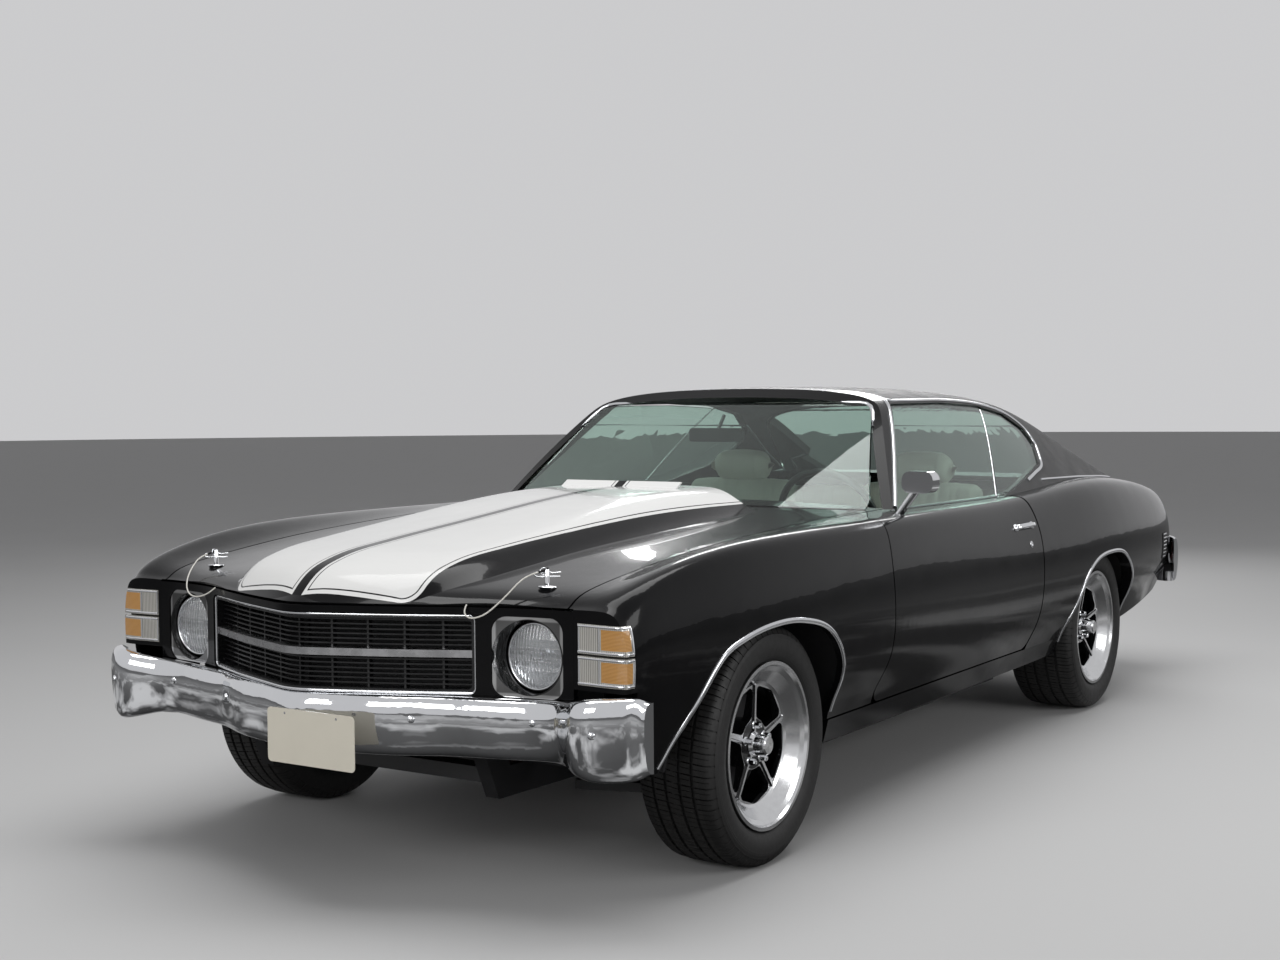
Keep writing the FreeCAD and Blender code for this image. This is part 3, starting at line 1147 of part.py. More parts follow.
# Exhaust pipes with mufflers, and the fuel tank
pipeRadius = 28.0
mufflerRadius = 52.0
pipeY = 330.0
pipeZ = 190.0
pipeFrontShare = 0.2193
mufflerFrontShare = -0.0199
mufflerRearShare = -0.1116
pipeFront = alongX(pipeFrontShare)
mufflerFront = alongX(mufflerFrontShare)
mufflerRear = alongX(mufflerRearShare)
mufflerLift = 12.0
mufflerLap = 10.0
# The tail pipe climbs over the axle and falls to its tip.
climbStartSet = 320.0
climbStart = rearAxle + climbStartSet
climbEndSet = 130.0
climbEnd = rearAxle + climbEndSet
fallStartSet = 150.0
fallStart = rearAxle - fallStartSet
fallEndSet = 380.0
fallEnd = rearAxle - fallEndSet
climbInset = 20.0
climbY = pipeY - climbInset
archZ = 430.0
fallZ = 250.0
tipY = 420.0
tipZ = 196.0
tipReach = 10.0
tipRear = -tailRear - tipReach
pipe = rod(vec(mufflerRear, pipeY, pipeZ), vec(pipeFront, pipeY, pipeZ), pipeRadius)
mufflerZ = pipeZ + mufflerLift
muffler = rod(vec(mufflerRear, pipeY, mufflerZ), vec(mufflerFront, pipeY, mufflerZ), mufflerRadius)
tailPipePoints = [
    vec(mufflerRear + mufflerLap, pipeY, pipeZ), vec(climbStart, pipeY, pipeZ),
    vec(climbEnd, climbY, archZ), vec(fallStart, pipeY, archZ),
    vec(fallEnd, tipY, fallZ), vec(tipRear, tipY, tipZ)]
tailPipe = []
for start, end in zip(tailPipePoints, tailPipePoints[1:]):
    tailPipe.append(rod(start, end, pipeRadius))
    tailPipe.append(Part.makeSphere(pipeRadius, end))
tailPipe = tailPipe[:-1]
exhaust = fuseAll([pipe, muffler] + tailPipe)
save(pair(exhaust), "exhaust")
tankShares = (-0.4445, -0.3468, -0.3864, 0.3864, 0.2171, 0.3575)
save(block(tankShares), "fuel_tank")

frontBar = bar(frontBarShares, 1, barDepth)
save(frontBar, "front_bumper")
tailLampY = 600.0
tailLampStep = 150.0
tailLampZ = 540.0
tailLampRadius = 56.0
tailLampDepth = 50.0
rearBar = bar(rearBarShares, -1, rearBarDepth)
tailLamps = []
for step in (0, 1):
    y = tailLampY + step * tailLampStep
    reach = rod(vec(-farOut, y, tailLampZ), vec(0, y, tailLampZ), tailLampRadius)
    lamp = rearBar.common(reach)
    lens = rod(vec(-farOut, y, tailLampZ), vec(0, y, tailLampZ), tailLampRadius - seatGap).common(lamp)
    tailLamps.append(lens)
    rearBar = rearBar.cut(reach).cut(mirrored(reach))
save(rearBar, "rear_bumper")
save(Part.makeCompound([piece for lens in tailLamps for piece in (lens, mirrored(lens))]), "tail_lamps")

# Grille: frame, thin level bars and one broad bar, all on the nose's plan
grilleGap = 0.3
frameWidth = 13.0
barPitch = 12.6
barHeight = 4.0
barSet = 34.0
barDeep = 14.0
frameSet = 8.0
frameDeep = 46.0
wideBarHeight = 19.0
wideBarZ = 650.0
stayStep = 92.0
stayWidth = 5.0


def noseShell(front, depth):
    return planSolid(front, 0).cut(planSolid(front + depth, 0)).common(
        between(frontAxle, farOut, -grilleHalf, grilleHalf, 0, high))


def grilleSlab(half, z0, z1):
    return between(0, farOut, -half, half, z0, z1)


innerHalf = grilleHalf - grilleGap
outerRing = frontWindow(
    -innerHalf, innerHalf, grilleBottom + grilleGap, grilleTop - grilleGap, bezelCorner / 2)
clearHalf = innerHalf - frameWidth
clearBottom = grilleBottom + grilleGap + frameWidth
clearTop = grilleTop - grilleGap - frameWidth
ringShell = noseShell(frameSet, frameDeep).common(outerRing)
ringShell = ringShell.cut(frontWindow(-clearHalf, clearHalf, clearBottom, clearTop, bezelCorner / 3))
barShell = noseShell(barSet, barDeep)
slabs = []
firstBarShare = 0.6
level = clearBottom + barPitch * firstBarShare
while level < clearTop - barHeight:
    slabs.append(grilleSlab(innerHalf - frameWidth / 2, level, level + barHeight))
    level += barPitch
grillePieces = [ringShell, barShell.common(Part.makeCompound(slabs))]
wideBarSet = 2.0
wideBar = noseShell(frameSet + wideBarSet, frameDeep - 2 * wideBarSet).common(
    grilleSlab(innerHalf - frameWidth / 2, wideBarZ - wideBarHeight / 2, wideBarZ + wideBarHeight / 2))
grillePieces.append(wideBar)
stays = []
place = 0
while place < clearHalf:
    stays.append(between(0, farOut, place - stayWidth / 2, place + stayWidth / 2,
                         clearBottom - frameWidth / 2, clearTop + frameWidth / 2))
    if place > 0:
        stays.append(mirrored(stays[-1]))
    place += stayStep
grillePieces.append(noseShell(barSet + barDeep / 2, barDeep).common(Part.makeCompound(stays)))
save(fuseAll(grillePieces), "grille")

# Headlamps in rounded square bezels
lampRadius = 88.0
bezelGap = 0.6
bezelBack = 2214.0
bezelSet = 3.0
lensBack = 2222.0
lensEdge = 2240.0
lensBulge = 16.0
flare = 9.0
bezel = frontWindow(
    lampY - bezelWidth / 2 + bezelGap, lampY + bezelWidth / 2 - bezelGap,
    lampZ - bezelHeight / 2 + bezelGap, lampZ + bezelHeight / 2 - bezelGap, bezelCorner)
bezel = bezel.common(planSolid(bezelSet, 0)).common(between(bezelBack, farOut, 0, farOut, 0, high))
lampAxis = vec(bezelBack, lampY, lampZ)
bezel = bezel.cut(Part.makeCylinder(lampRadius + bezelGap, farOut, lampAxis, forward))
coneLength = 90.0
bezel = bezel.cut(Part.makeCone(lampRadius + bezelGap, lampRadius + flare * 2, coneLength,
                                vec(lensEdge, lampY, lampZ), forward))
save(pair(bezel), "headlamp_bezels")
lensSphere = (lampRadius ** 2 + lensBulge ** 2) / (2 * lensBulge)
lens = Part.makeCylinder(lampRadius, lensBulge * 3, vec(lensBack, lampY, lampZ), forward)
lens = lens.common(Part.makeSphere(lensSphere, vec(lensEdge + lensBulge - lensSphere, lampY, lampZ)))
save(pair(lens), "headlamps")

# Corner lamps, two on each side, that wrap round the fender
lampSplit = 3.0
lampSkin = wall.common(between(
    cornerLampRear + bezelGap, farOut, cornerLampInner + bezelGap, farOut,
    cornerLampBottom + bezelGap, cornerLampTop - bezelGap))
lowerLamp = lampSkin.common(between(0, farOut, 0, farOut, 0, cornerLampMiddle - lampSplit))
upperLamp = lampSkin.common(between(0, farOut, 0, farOut, cornerLampMiddle + lampSplit, high))
save(Part.makeCompound([upperLamp, lowerLamp, mirrored(upperLamp), mirrored(lowerLamp)]), "corner_lamps")

# Number plate, hung a little to the left of the bumper's fold and left blank
plateWidth = 300.0
plateHeight = 142.0
plateY = 88.0
plateZ = 431.0
plateSet = 1.0
plateX = bumperFront + plateSet
plateThickness = 2.0
plateHoleSpacing = 178.0
plateHoleRadius = 3.5
plateCorner = 12.0
plate = prismX((
    (plateY - plateWidth / 2, plateZ - plateHeight / 2), (plateY + plateWidth / 2, plateZ - plateHeight / 2),
    (plateY + plateWidth / 2, plateZ + plateHeight / 2), (plateY - plateWidth / 2, plateZ + plateHeight / 2)),
    plateX, plateX + plateThickness, plateCorner)
for side in (-1, 1):
    holeAt = vec(0, plateY + side * plateHoleSpacing / 2, plateZ + plateHeight / 2 - plateCorner)
    plate = plate.cut(Part.makeCylinder(plateHoleRadius, farOut, holeAt, forward))
bracketReachShare = 1.4
bracketBack = bumperFront - barDepth * bracketReachShare
bracket = between(
    bracketBack, plateX + plateThickness / 2, plateY - plateHeight / 3, plateY + plateHeight / 3,
    plateZ - plateHeight / 4, plateZ + plateHeight / 4)
bracketPieces = bracket.cut(frontBar).Solids
bracketPieces.sort(key=lambda solid: solid.BoundBox.XMax)
plate = plate.fuse(bracketPieces[-1])
save(plate, "number_plate")

# Dashboard with the steering column, and the steering wheel
dashHalf = sillInner - seatGap
dashShares = (
    (0.1664, 0.6587), (0.0997, 0.6677), (0.0877, 0.6796), (0.0747, 0.6699), (0.0674, 0.6325),
    (0.069, 0.5576), (0.0837, 0.494), (0.1664, 0.494),
)
hubX = 140.0
hubY = 370.0
hubZ = 850.0
wheelHub = vec(hubX, hubY, hubZ)
columnTilt = math.radians(22.0)
columnRadius = 32.0
wheelRadius = 190.0
gripRadius = 13.0
hubGap = 0.3
columnWay = vec(math.cos(columnTilt), 0, -math.sin(columnTilt))
columnStart = wheelHub + columnWay * (hubGap + gripRadius * 2)
columnLength = 800.0
columnEnd = wheelHub + columnWay * columnLength
dash = prismY(profile(dashShares), -dashHalf, dashHalf, bezelCorner)
column = rod(columnStart, columnEnd, columnRadius)
dash = fuseAll([dash, column])
save(dash, "dashboard")
grip = Part.makeTorus(wheelRadius, gripRadius, middle, upward)
boss = Part.makeCylinder(columnRadius, gripRadius * 2, vec(0, 0, -gripRadius * 2), upward)
steerPieces = [grip, boss]
spokeWidth = 34.0
spokeThickness = 8.0
spokeLow = -gripRadius * 3 / 2
for angle in (0, 180, 90):
    spoke = between(
        0, wheelRadius, -spokeWidth / 2, spokeWidth / 2, spokeLow, spokeLow + spokeThickness)
    spoke.rotate(middle, upward, angle + 90)
    steerPieces.append(spoke)
steeringWheel = fuseAll(steerPieces)
steeringWheel.Placement = FreeCAD.Placement(wheelHub, FreeCAD.Rotation(upward, columnWay * -1))
save(steeringWheel, "steering_wheel")

# Seats
seatInner = 153.0
seatOuter = 655.0
seatRadius = 28.0
frontSeatShares = (
    (0.012, 0.247), (0.0155, 0.3406), (0.008, 0.3743), (-0.0737, 0.3518), (-0.0857, 0.3892),
    (-0.1092, 0.6961), (-0.1196, 0.7201), (-0.1306, 0.6961), (-0.1116, 0.3293), (-0.1056, 0.247),
)
headShares = (
    (-0.1146, 0.7036), (-0.1086, 0.756), (-0.1116, 0.7979), (-0.1196, 0.8084), (-0.1276, 0.7934),
    (-0.1292, 0.7485), (-0.1276, 0.7036),
)
headHalf = 140.0
seatMiddle = (seatInner + seatOuter) / 2
seatBaseRearShare = -0.0997
seatBaseFrontShare = 0.006
seatBaseTopShare = 0.2582
seatBase = between(
    alongX(seatBaseRearShare), alongX(seatBaseFrontShare), seatInner + seatRadius * 2,
    seatOuter - seatRadius * 2, floorLevel + seatGap, alongZ(seatBaseTopShare))
seat = prismY(profile(frontSeatShares), seatInner, seatOuter, seatRadius)
head = prismY(profile(headShares), seatMiddle - headHalf, seatMiddle + headHalf, seatRadius)
save(pair(fuseAll([seat, head, seatBase])), "front_seats")
rearSeatShares = (
    (-0.1654, 0.367), (-0.1624, 0.4192), (-0.1694, 0.4528), (-0.2232, 0.4229), (-0.2352, 0.4491),
    (-0.2515, 0.6587), (-0.2591, 0.6774), (-0.2671, 0.6587), (-0.2671, 0.367),
)
rearSeatHalf = rearHouseInner - seatRadius
save(prismY(profile(rearSeatShares), -rearSeatHalf, rearSeatHalf, seatRadius), "rear_seat")

# Mirrors
insideMirrorShares = ((-0.117, 0.8473), (0.117, 0.8473), (0.117, 0.8847), (-0.117, 0.8847))
insideMirrorSideShares = (0.0598, 0.0626)
stalkFootXShare = 0.0612
stalkFootZShare = 0.8683
stalkHeadXShare = 0.0501
stalkHeadZShare = 0.9186
insideMirror = prismX(
    scaled(insideMirrorShares), *[alongX(share) for share in insideMirrorSideShares], gripRadius)
stalkFoot = vec(alongX(stalkFootXShare), 0, alongZ(stalkFootZShare))
stalkHead = vec(alongX(stalkHeadXShare), 0, alongZ(stalkHeadZShare))
mirrorStalk = rod(stalkFoot, stalkHead, gripRadius / 2)
save(fuseAll([insideMirror, mirrorStalk]), "interior_mirror")
mirrorHeadShares = ((0.917, 0.7373), (1.0287, 0.7373), (1.0287, 0.7897), (0.917, 0.7897))
mirrorSideShares = (0.1166, 0.1276)
mirrorFootXShares = (0.1196, 0.1212)
mirrorFootYShares = (0.8825, 0.9608)
mirrorFootZShares = (0.6774, 0.7485)
mirrorHead = prismX(scaled(mirrorHeadShares), *[alongX(share) for share in mirrorSideShares], seatRadius)
footEnds = []
for x, y, z in zip(mirrorFootXShares, mirrorFootYShares, mirrorFootZShares):
    footEnds.append(vec(alongX(x), alongY(y), alongZ(z)))
mirrorFoot = rod(*footEnds, gripRadius)
save(fuseAll([mirrorHead, mirrorFoot]).cut(outerBody), "door_mirror")

# Wheels: rims with five spokes, and tyres
spokeCount = 5
lipWidth = 10.0
barrelWall = 11.0
stepDepth = 44.0
stepRadius = 174.0
stepWidth = 8.0
hubRadius = 70.0
capRadius = 30.0
capFlare = 7.0
capDepth = 4.0
dishThickness = 14.0
windowInner = 74.0
windowOuter = 164.0
windowCorner = 17.0
spokeHalfInner = 12.0
spokeHalfOuter = 8.5
ribHalf = 4.0
ribRise = 5.0
# How the tyre's outline steps in from the rim flange and the tread
beadLip = 2.0
beadDepthStep = 3.0
wallFootRise = 10.0
wallFootDepth = 9.0
wallMiddleRise = 4.0
shoulderDrop = 26.0
shoulderDepth = 5.0
edgeDrop = 9.0
crownDrop = 2.0
shoulderShare = 0.1
beadShare = 1.4


def turned(outline, centreX, faceY):
    # A ring turned about the wheel's axle; the outline gives radius and distance inboard.
    points = [vec(centreX, faceY - depth, tyreRadius + radius) for radius, depth in outline]
    face = Part.Face(Part.makePolygon(points + [points[0]]))
    return face.revolve(vec(centreX, faceY, tyreRadius), across, 360)


def makeRim(centreX, faceY, width, hubFace):
    drop = rimSeatRadius - barrelWall * 2
    flange = rimFlangeRadius - lipWidth
    outline = (
        (rimFlangeRadius, 0), (rimFlangeRadius, lipWidth), (rimSeatRadius, lipWidth * 1.4),
        (rimSeatRadius, width * 0.28), (drop, width * 0.36), (drop, width * 0.64),
        (rimSeatRadius, width * 0.72), (rimSeatRadius, width - lipWidth * 1.4),
        (rimFlangeRadius, width - lipWidth), (rimFlangeRadius, width),
        (flange, width), (rimSeatRadius - barrelWall, width - lipWidth),
        (rimSeatRadius - barrelWall, width * 0.74), (drop - barrelWall, width * 0.66),
        (drop - barrelWall, width * 0.4), (stepRadius - stepWidth, stepDepth + dishThickness),
        (stepRadius - stepWidth, stepDepth + ribRise), (stepRadius, stepDepth),
        (rimSeatRadius - barrelWall, lipWidth * 1.6), (flange - ribRise, lipWidth * 0.8), (flange, 0))
    rim = turned(outline, centreX, faceY)
    reach = stepRadius - stepWidth / 2
    spokeFront = stepDepth + ribRise
    dishOutline = (
        (capRadius, hubFace), (hubRadius, hubFace), (windowOuter, spokeFront), (reach, spokeFront),
        (reach, spokeFront + dishThickness), (windowOuter, spokeFront + dishThickness),
        (hubRadius, hubFace + dishThickness * 2), (capRadius, hubFace + dishThickness * 2))
    dish = turned(dishOutline, centreX, faceY)
    stepAngle = 360 / spokeCount
    halfStep = math.radians(stepAngle / 2)
    innerWide = windowInner * math.sin(halfStep) - spokeHalfInner * math.cos(halfStep)
    outerWide = windowOuter * math.sin(halfStep) - spokeHalfOuter * math.cos(halfStep)
    ribs = []
    for step in range(spokeCount):
        inside = tyreRadius + windowInner * math.cos(halfStep) + spokeHalfInner * math.sin(halfStep)
        outside = tyreRadius + windowOuter * math.cos(halfStep) + spokeHalfOuter * math.sin(halfStep)
        outline = (
            (centreX - innerWide, inside), (centreX + innerWide, inside), (centreX + outerWide, outside),
            (centreX, tyreRadius + windowOuter + spokeHalfOuter / 2), (centreX - outerWide, outside))
        window = prismY(outline, 0, farOut, windowCorner)
        window.rotate(vec(centreX, 0, tyreRadius), across, stepAngle * (step + 0.5))
        dish = dish.cut(window)
        ribOutline = (
            (capRadius, hubFace - ribRise), (hubRadius, hubFace - ribRise),
            (windowOuter, spokeFront - ribRise),
            (reach, spokeFront), (reach, spokeFront + ribRise), (capRadius, hubFace + ribRise))
        ribFoot = vec(centreX - ribHalf, faceY, tyreRadius)
        ribPoints = [ribFoot + vec(0, -depth, radius) for radius, depth in ribOutline]
        rib = Part.Face(Part.makePolygon(ribPoints + [ribPoints[0]])).extrude(vec(2 * ribHalf, 0, 0))
        rib.rotate(vec(centreX, 0, tyreRadius), across, stepAngle * step)
        ribs.append(rib)
    hubFront = vec(centreX, faceY - hubFace, tyreRadius)
    hub = rod(hubFront, hubFront - across * (dishThickness * 4), hubRadius)
    capOutline = (
        (0, capDepth), (capRadius - capFlare, capDepth), (capRadius - capFlare / 2, capDepth + capFlare / 2),
        (capRadius, hubFace - capFlare * 2), (capRadius + capFlare, hubFace - capFlare / 2),
        (capRadius + capFlare, hubFace + ribRise), (0, hubFace + ribRise))
    cap = turned(capOutline, centreX, faceY)
    boreEnds = (hubFront - across * (dishThickness * 5), hubFront - across * dishThickness)
    bore = rod(*boreEnds, spindleRadius + runningClearance)
    return fuseAll([rim, dish, hub, cap] + ribs).cut(bore)


def makeTyre(centreX, faceY, rimWidth, width):
    half = width / 2
    beadDepth = lipWidth * beadShare + seatGap
    bulgeDepth = rimWidth / 2 - half
    seat = rimSeatRadius + seatGap
    shoulder = width * shoulderShare
    points = [
        (seat, beadDepth), (rimFlangeRadius + beadLip, lipWidth + beadDepthStep),
        (rimFlangeRadius + wallFootRise, bulgeDepth + wallFootDepth),
        ((seat + tyreRadius) / 2 + wallMiddleRise, bulgeDepth),
        (tyreRadius - shoulderDrop, bulgeDepth + shoulderDepth),
        (tyreRadius - edgeDrop, bulgeDepth + shoulder * 0.6),
        (tyreRadius - crownDrop, bulgeDepth + shoulder * 1.3), (tyreRadius, bulgeDepth + shoulder * 2.4)]
    mirrorPoints = [(radius, rimWidth - depth) for radius, depth in reversed(points)]
    return turned(points + mirrorPoints, centreX, faceY)


wheelSizes = (
    ("front", frontAxle, frontRimFace, frontRimWidth, frontTyreWidth, frontDrumFace),
    ("rear", rearAxle, rearRimFace, rearRimWidth, rearTyreWidth, rearDrumFace),
)
for end, axleX, faceY, rimWidth, tyreWidth, drumFace in wheelSizes:
    hubFace = faceY - drumFace - panelGap - dishThickness * 4
    rim = makeRim(axleX, faceY, rimWidth, hubFace)
    tyre = makeTyre(axleX, faceY, rimWidth, tyreWidth)
    save(rim, "rim_" + end + "_left")
    save(mirrored(rim), "rim_" + end + "_right")
    save(tyre, "tyre_" + end + "_left")
    save(mirrored(tyre), "tyre_" + end + "_right")
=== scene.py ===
import math
import bmesh
import bpy
from mathutils import Matrix, Vector
from mathutils.bvhtree import BVHTree


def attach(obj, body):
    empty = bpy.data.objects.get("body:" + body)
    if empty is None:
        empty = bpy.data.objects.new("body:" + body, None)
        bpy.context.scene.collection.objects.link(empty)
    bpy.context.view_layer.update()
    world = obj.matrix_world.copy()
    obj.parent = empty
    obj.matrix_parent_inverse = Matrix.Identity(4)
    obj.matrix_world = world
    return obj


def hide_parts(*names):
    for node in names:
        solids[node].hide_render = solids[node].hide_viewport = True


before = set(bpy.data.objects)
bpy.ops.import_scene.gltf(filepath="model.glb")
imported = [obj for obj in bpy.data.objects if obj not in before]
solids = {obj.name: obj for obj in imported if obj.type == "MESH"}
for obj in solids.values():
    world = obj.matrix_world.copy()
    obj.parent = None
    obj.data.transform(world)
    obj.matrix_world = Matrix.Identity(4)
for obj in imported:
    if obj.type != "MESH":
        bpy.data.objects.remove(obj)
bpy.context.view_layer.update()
bpy.context.scene.view_settings.view_transform = "Standard"
print("frame loaded")

sides = (("left", 1), ("right", -1))
axles = {"front": 1.5685, "rear": -1.2765}
tyreRadius = 0.335
fullTurn = 2 * math.pi
forward, rearward = Vector((1, 0, 0)), Vector((-1, 0, 0))
inward, upward, downward = Vector((0, -1, 0)), Vector((0, 0, 1)), Vector((0, 0, -1))

# camera: place, heading, tilt and roll that were solved for the photograph's frame
cameraPlan = {
    "place": (5.6857, 3.1523, 1.2864),
    "heading": 212.95,
    "tilt": -2.652,
    "roll": -0.4115,
    "lens": 48.195,
    "sensor": 36.0,
    "reach": 200,
}


def aimCamera(plan):
    heading = math.radians(plan["heading"])
    tilt = math.radians(plan["tilt"])
    roll = math.radians(plan["roll"])
    flat = math.cos(tilt)
    ahead = Vector((math.cos(heading) * flat, math.sin(heading) * flat, math.sin(tilt)))
    level = Vector((math.sin(heading), -math.cos(heading), 0))
    upright = level.cross(ahead)
    right = level * math.cos(roll) + upright * math.sin(roll)
    top = upright * math.cos(roll) - level * math.sin(roll)
    camera = bpy.data.objects.new("camera", bpy.data.cameras.new("camera"))
    camera.data.lens = plan["lens"]
    camera.data.sensor_width = plan["sensor"]
    camera.data.clip_end = plan["reach"]
    turn = Matrix((right, top, -ahead)).transposed().to_4x4()
    camera.matrix_world = Matrix.Translation(plan["place"]) @ turn
    bpy.context.scene.collection.objects.link(camera)
    bpy.context.scene.camera = camera


aimCamera(cameraPlan)
print("camera aimed")


def metres(table):
    # the same number or table of numbers, from millimetres
    if isinstance(table, (tuple, list)):
        return [metres(row) for row in table]
    return table / 1000


# shader maths on sockets
class Wire:
    def __init__(self, finish, socket):
        self.finish = finish
        self.socket = socket

    def maths(self, way, first, second):
        return self.finish.add("ShaderNodeMath", {"operation": way}, {0: first, 1: second})[0]

    def __rsub__(self, other):
        return self.maths("SUBTRACT", other, self)

    def within(self, low, high):
        return (self > low) * (self < high)

    def ramp(self, low, high, start=0.0, end=1.0):
        # a clamped straight ramp from start at low to end at high
        values = {0: self, 1: low, 2: high, 3: start, 4: end}
        return self.finish.add("ShaderNodeMapRange", {"clamp": True}, values)[0]


def wireMethod(way):
    return lambda self, other=0: self.maths(way, self, other)


wireMethods = {
    "ADD": ("__add__", "__radd__"),
    "SUBTRACT": ("__sub__",),
    "MULTIPLY": ("__mul__", "__rmul__"),
    "POWER": ("__pow__",),
    "GREATER_THAN": ("__gt__",),
    "LESS_THAN": ("__lt__",),
    "MAXIMUM": ("most",),
    "MINIMUM": ("least",),
    "ABSOLUTE": ("size",),
    "SINE": ("sine",),
}
for way, names in wireMethods.items():
    for name in names:
        setattr(Wire, name, wireMethod(way))


class Finish:
    # one material; its nodes are made by add()
    def __init__(self, name, **values):
        self.material = bpy.data.materials.new(name)
        self.material.use_nodes = True
        self.tree = self.material.node_tree
        self.body = self.tree.nodes["Principled BSDF"]
        self.set(**values)
        self.spot = None

    def set(self, **values):
        for name, value in values.items():
            self.feed(self.body.inputs[name.replace("_", " ")], value)
        return self

    def feed(self, socket, value):
        if isinstance(value, Wire):
            self.tree.links.new(value.socket, socket)
        elif isinstance(value, (tuple, list)) and socket.type == "RGBA":
            socket.default_value = (*value, 1)
        else:
            socket.default_value = value

    def add(self, kind, settings=None, values=None):
        node = self.tree.nodes.new(kind)
        for name, value in (settings or {}).items():
            setattr(node, name, value)
        for name, value in (values or {}).items():
            self.feed(node.inputs[name], value)
        return [Wire(self, socket) for socket in node.outputs]

    def place(self):
        # object coordinates, whole and split in three
        if self.spot is None:
            where = self.add("ShaderNodeTexCoord")[3]
            self.spot = [where] + self.add("ShaderNodeSeparateXYZ", None, {0: where})
        return self.spot

    def facing(self):
        # the surface's direction in object space, split in three
        return self.add("ShaderNodeSeparateXYZ", None, {0: self.add("ShaderNodeTexCoord")[1]})

    def around(self, centreX):
        # distance from an axle
        where, x, y, z = self.place()
        return ((x - centreX) ** 2 + (z - tyreRadius) ** 2) ** 0.5

    def noise(self, scale, detail=2.0, rough=0.5):
        values = {"Vector": self.place()[0], "Scale": scale, "Detail": detail, "Roughness": rough}
        return self.add("ShaderNodeTexNoise", None, values)[0]

    def cells(self, scale, **settings):
        values = {"Vector": self.place()[0], "Scale": scale}
        return self.add("ShaderNodeTexVoronoi", settings, values)[0]

    def mix(self, factor, low, high):
        node = self.tree.nodes.new("ShaderNodeMix")
        node.data_type = "RGBA"
        for index, value in ((0, factor), (6, low), (7, high)):
            self.feed(node.inputs[index], value)
        return Wire(self, node.outputs[2])

    def bump(self, height, strength=0.2, distance=0.001):
        values = {"Strength": strength, "Distance": distance, "Height": height}
        return self.add("ShaderNodeBump", None, values)[0]


def shade(colour, share):
    return tuple(min(1.0, part * share) for part in colour)


def plainFinish(name, colour, rough, metal=0.0, grain=30.0, spread=0.2, bumps=0.0, **more):
    # slightly uneven in colour and gloss; bumps is the height of a fine grain
    finish = Finish(name, Metallic=metal, **more)
    uneven = finish.noise(grain, 4.0, 0.6)
    finish.set(
        Base_Color=finish.mix(uneven, shade(colour, 1 - spread), shade(colour, 1 + spread)),
        Roughness=uneven.ramp(0.2, 0.8, rough * 0.85, rough * 1.15))
    if bumps:
        finish.set(Normal=finish.bump(finish.noise(grain * 12, 3.0), 0.3, bumps))
    return finish


plainLooks = {
    "chrome": dict(colour=(0.80, 0.81, 0.83), rough=0.045, metal=1.0, grain=22.0, spread=0.03),
    "brightTrim": dict(colour=(0.74, 0.75, 0.77), rough=0.12, metal=1.0, grain=22.0, spread=0.03),
    "chassisBlack": dict(colour=(0.012, 0.012, 0.013), rough=0.45, spread=0.25, bumps=0.0004),
    "innerBlack": dict(colour=(0.008, 0.008, 0.009), rough=0.55, bumps=0.0004),
    "bareSteel": dict(colour=(0.30, 0.30, 0.31), rough=0.4, metal=0.9, grain=25.0, spread=0.15, bumps=0.0004),
    "paintedIron": dict(colour=(0.16, 0.05, 0.03), rough=0.5, metal=0.1, bumps=0.0006),
    "dashPlastic": dict(colour=(0.010, 0.010, 0.011), rough=0.5, bumps=0.0005),
    "wheelPlastic": dict(colour=(0.009, 0.009, 0.010), rough=0.3),
    "plateCream": dict(colour=(0.70, 0.66, 0.56), rough=0.35, grain=12.0, spread=0.04, Coat_Weight=0.4),
    "softBlack": dict(colour=(0.008, 0.008, 0.008), rough=0.6, grain=60.0, bumps=0.0003),
    "mirrorFace": dict(colour=(0.86, 0.88, 0.88), rough=0.015, metal=1.0, grain=5.0, spread=0.01),
}
plain = {name: plainFinish(name, **look) for name, look in plainLooks.items()}

# paint, with two broad stripes over hood and trunk; each has a thin black line and a white one round it
paintCoat = dict(Coat_Weight=0.7, Coat_Roughness=0.015, Coat_IOR=1.22, Specular_IOR_Level=0.08)
stripes = {
    "inner": 0.029,
    "outerFront": 0.308,
    "outerRear": 0.373,
    "corner": 0.030,
    "blackLine": 0.0032,
    "whiteLine": 0.0125,
    "white": (0.74, 0.74, 0.73),
    "black": (0.0035, 0.0035, 0.004),
}


def stripePaint(name, tipX, tipSlope, tailX, frontX, rearX):
    # the field's front edge is at tipX on the inner side and falls back by tipSlope outward
    paint = Finish(name, **paintCoat)
    where, x, y, z = paint.place()
    across = y.size()
    inner, corner, white = stripes["inner"], stripes["corner"], stripes["white"]
    outer = x.ramp(rearX, frontX, stripes["outerRear"], stripes["outerFront"])
    sideways = outer - across
    ahead = (tipX - (across - inner) * tipSlope) - x
    bend = ((corner - sideways).most(0.0) ** 2 + (corner - ahead).most(0.0) ** 2) ** 0.5
    inside = (corner - bend).least(sideways.least(ahead)).least(across - inner).least(x - tailX)
    border = inside.within(-stripes["whiteLine"], -stripes["blackLine"])
    mask = ((inside > 0.0) + border) * (paint.facing()[2] > -0.5)
    dust = paint.noise(9.0, 5.0, 0.6)
    paint.set(
        Base_Color=paint.mix(mask, stripes["black"], paint.mix(dust, shade(white, 0.97), white)),
        Roughness=dust.ramp(0.3, 0.8, 0.12, 0.2))
    return paint


def blackPaint():
    paint = Finish("bodyBlack", **paintCoat)
    dust = paint.noise(9.0, 5.0, 0.6)
    paint.set(
        Base_Color=paint.mix(dust, (0.0028, 0.0028, 0.0032), (0.0045, 0.0045, 0.005)),
        Roughness=dust.ramp(0.3, 0.8, 0.14, 0.24))
    return paint


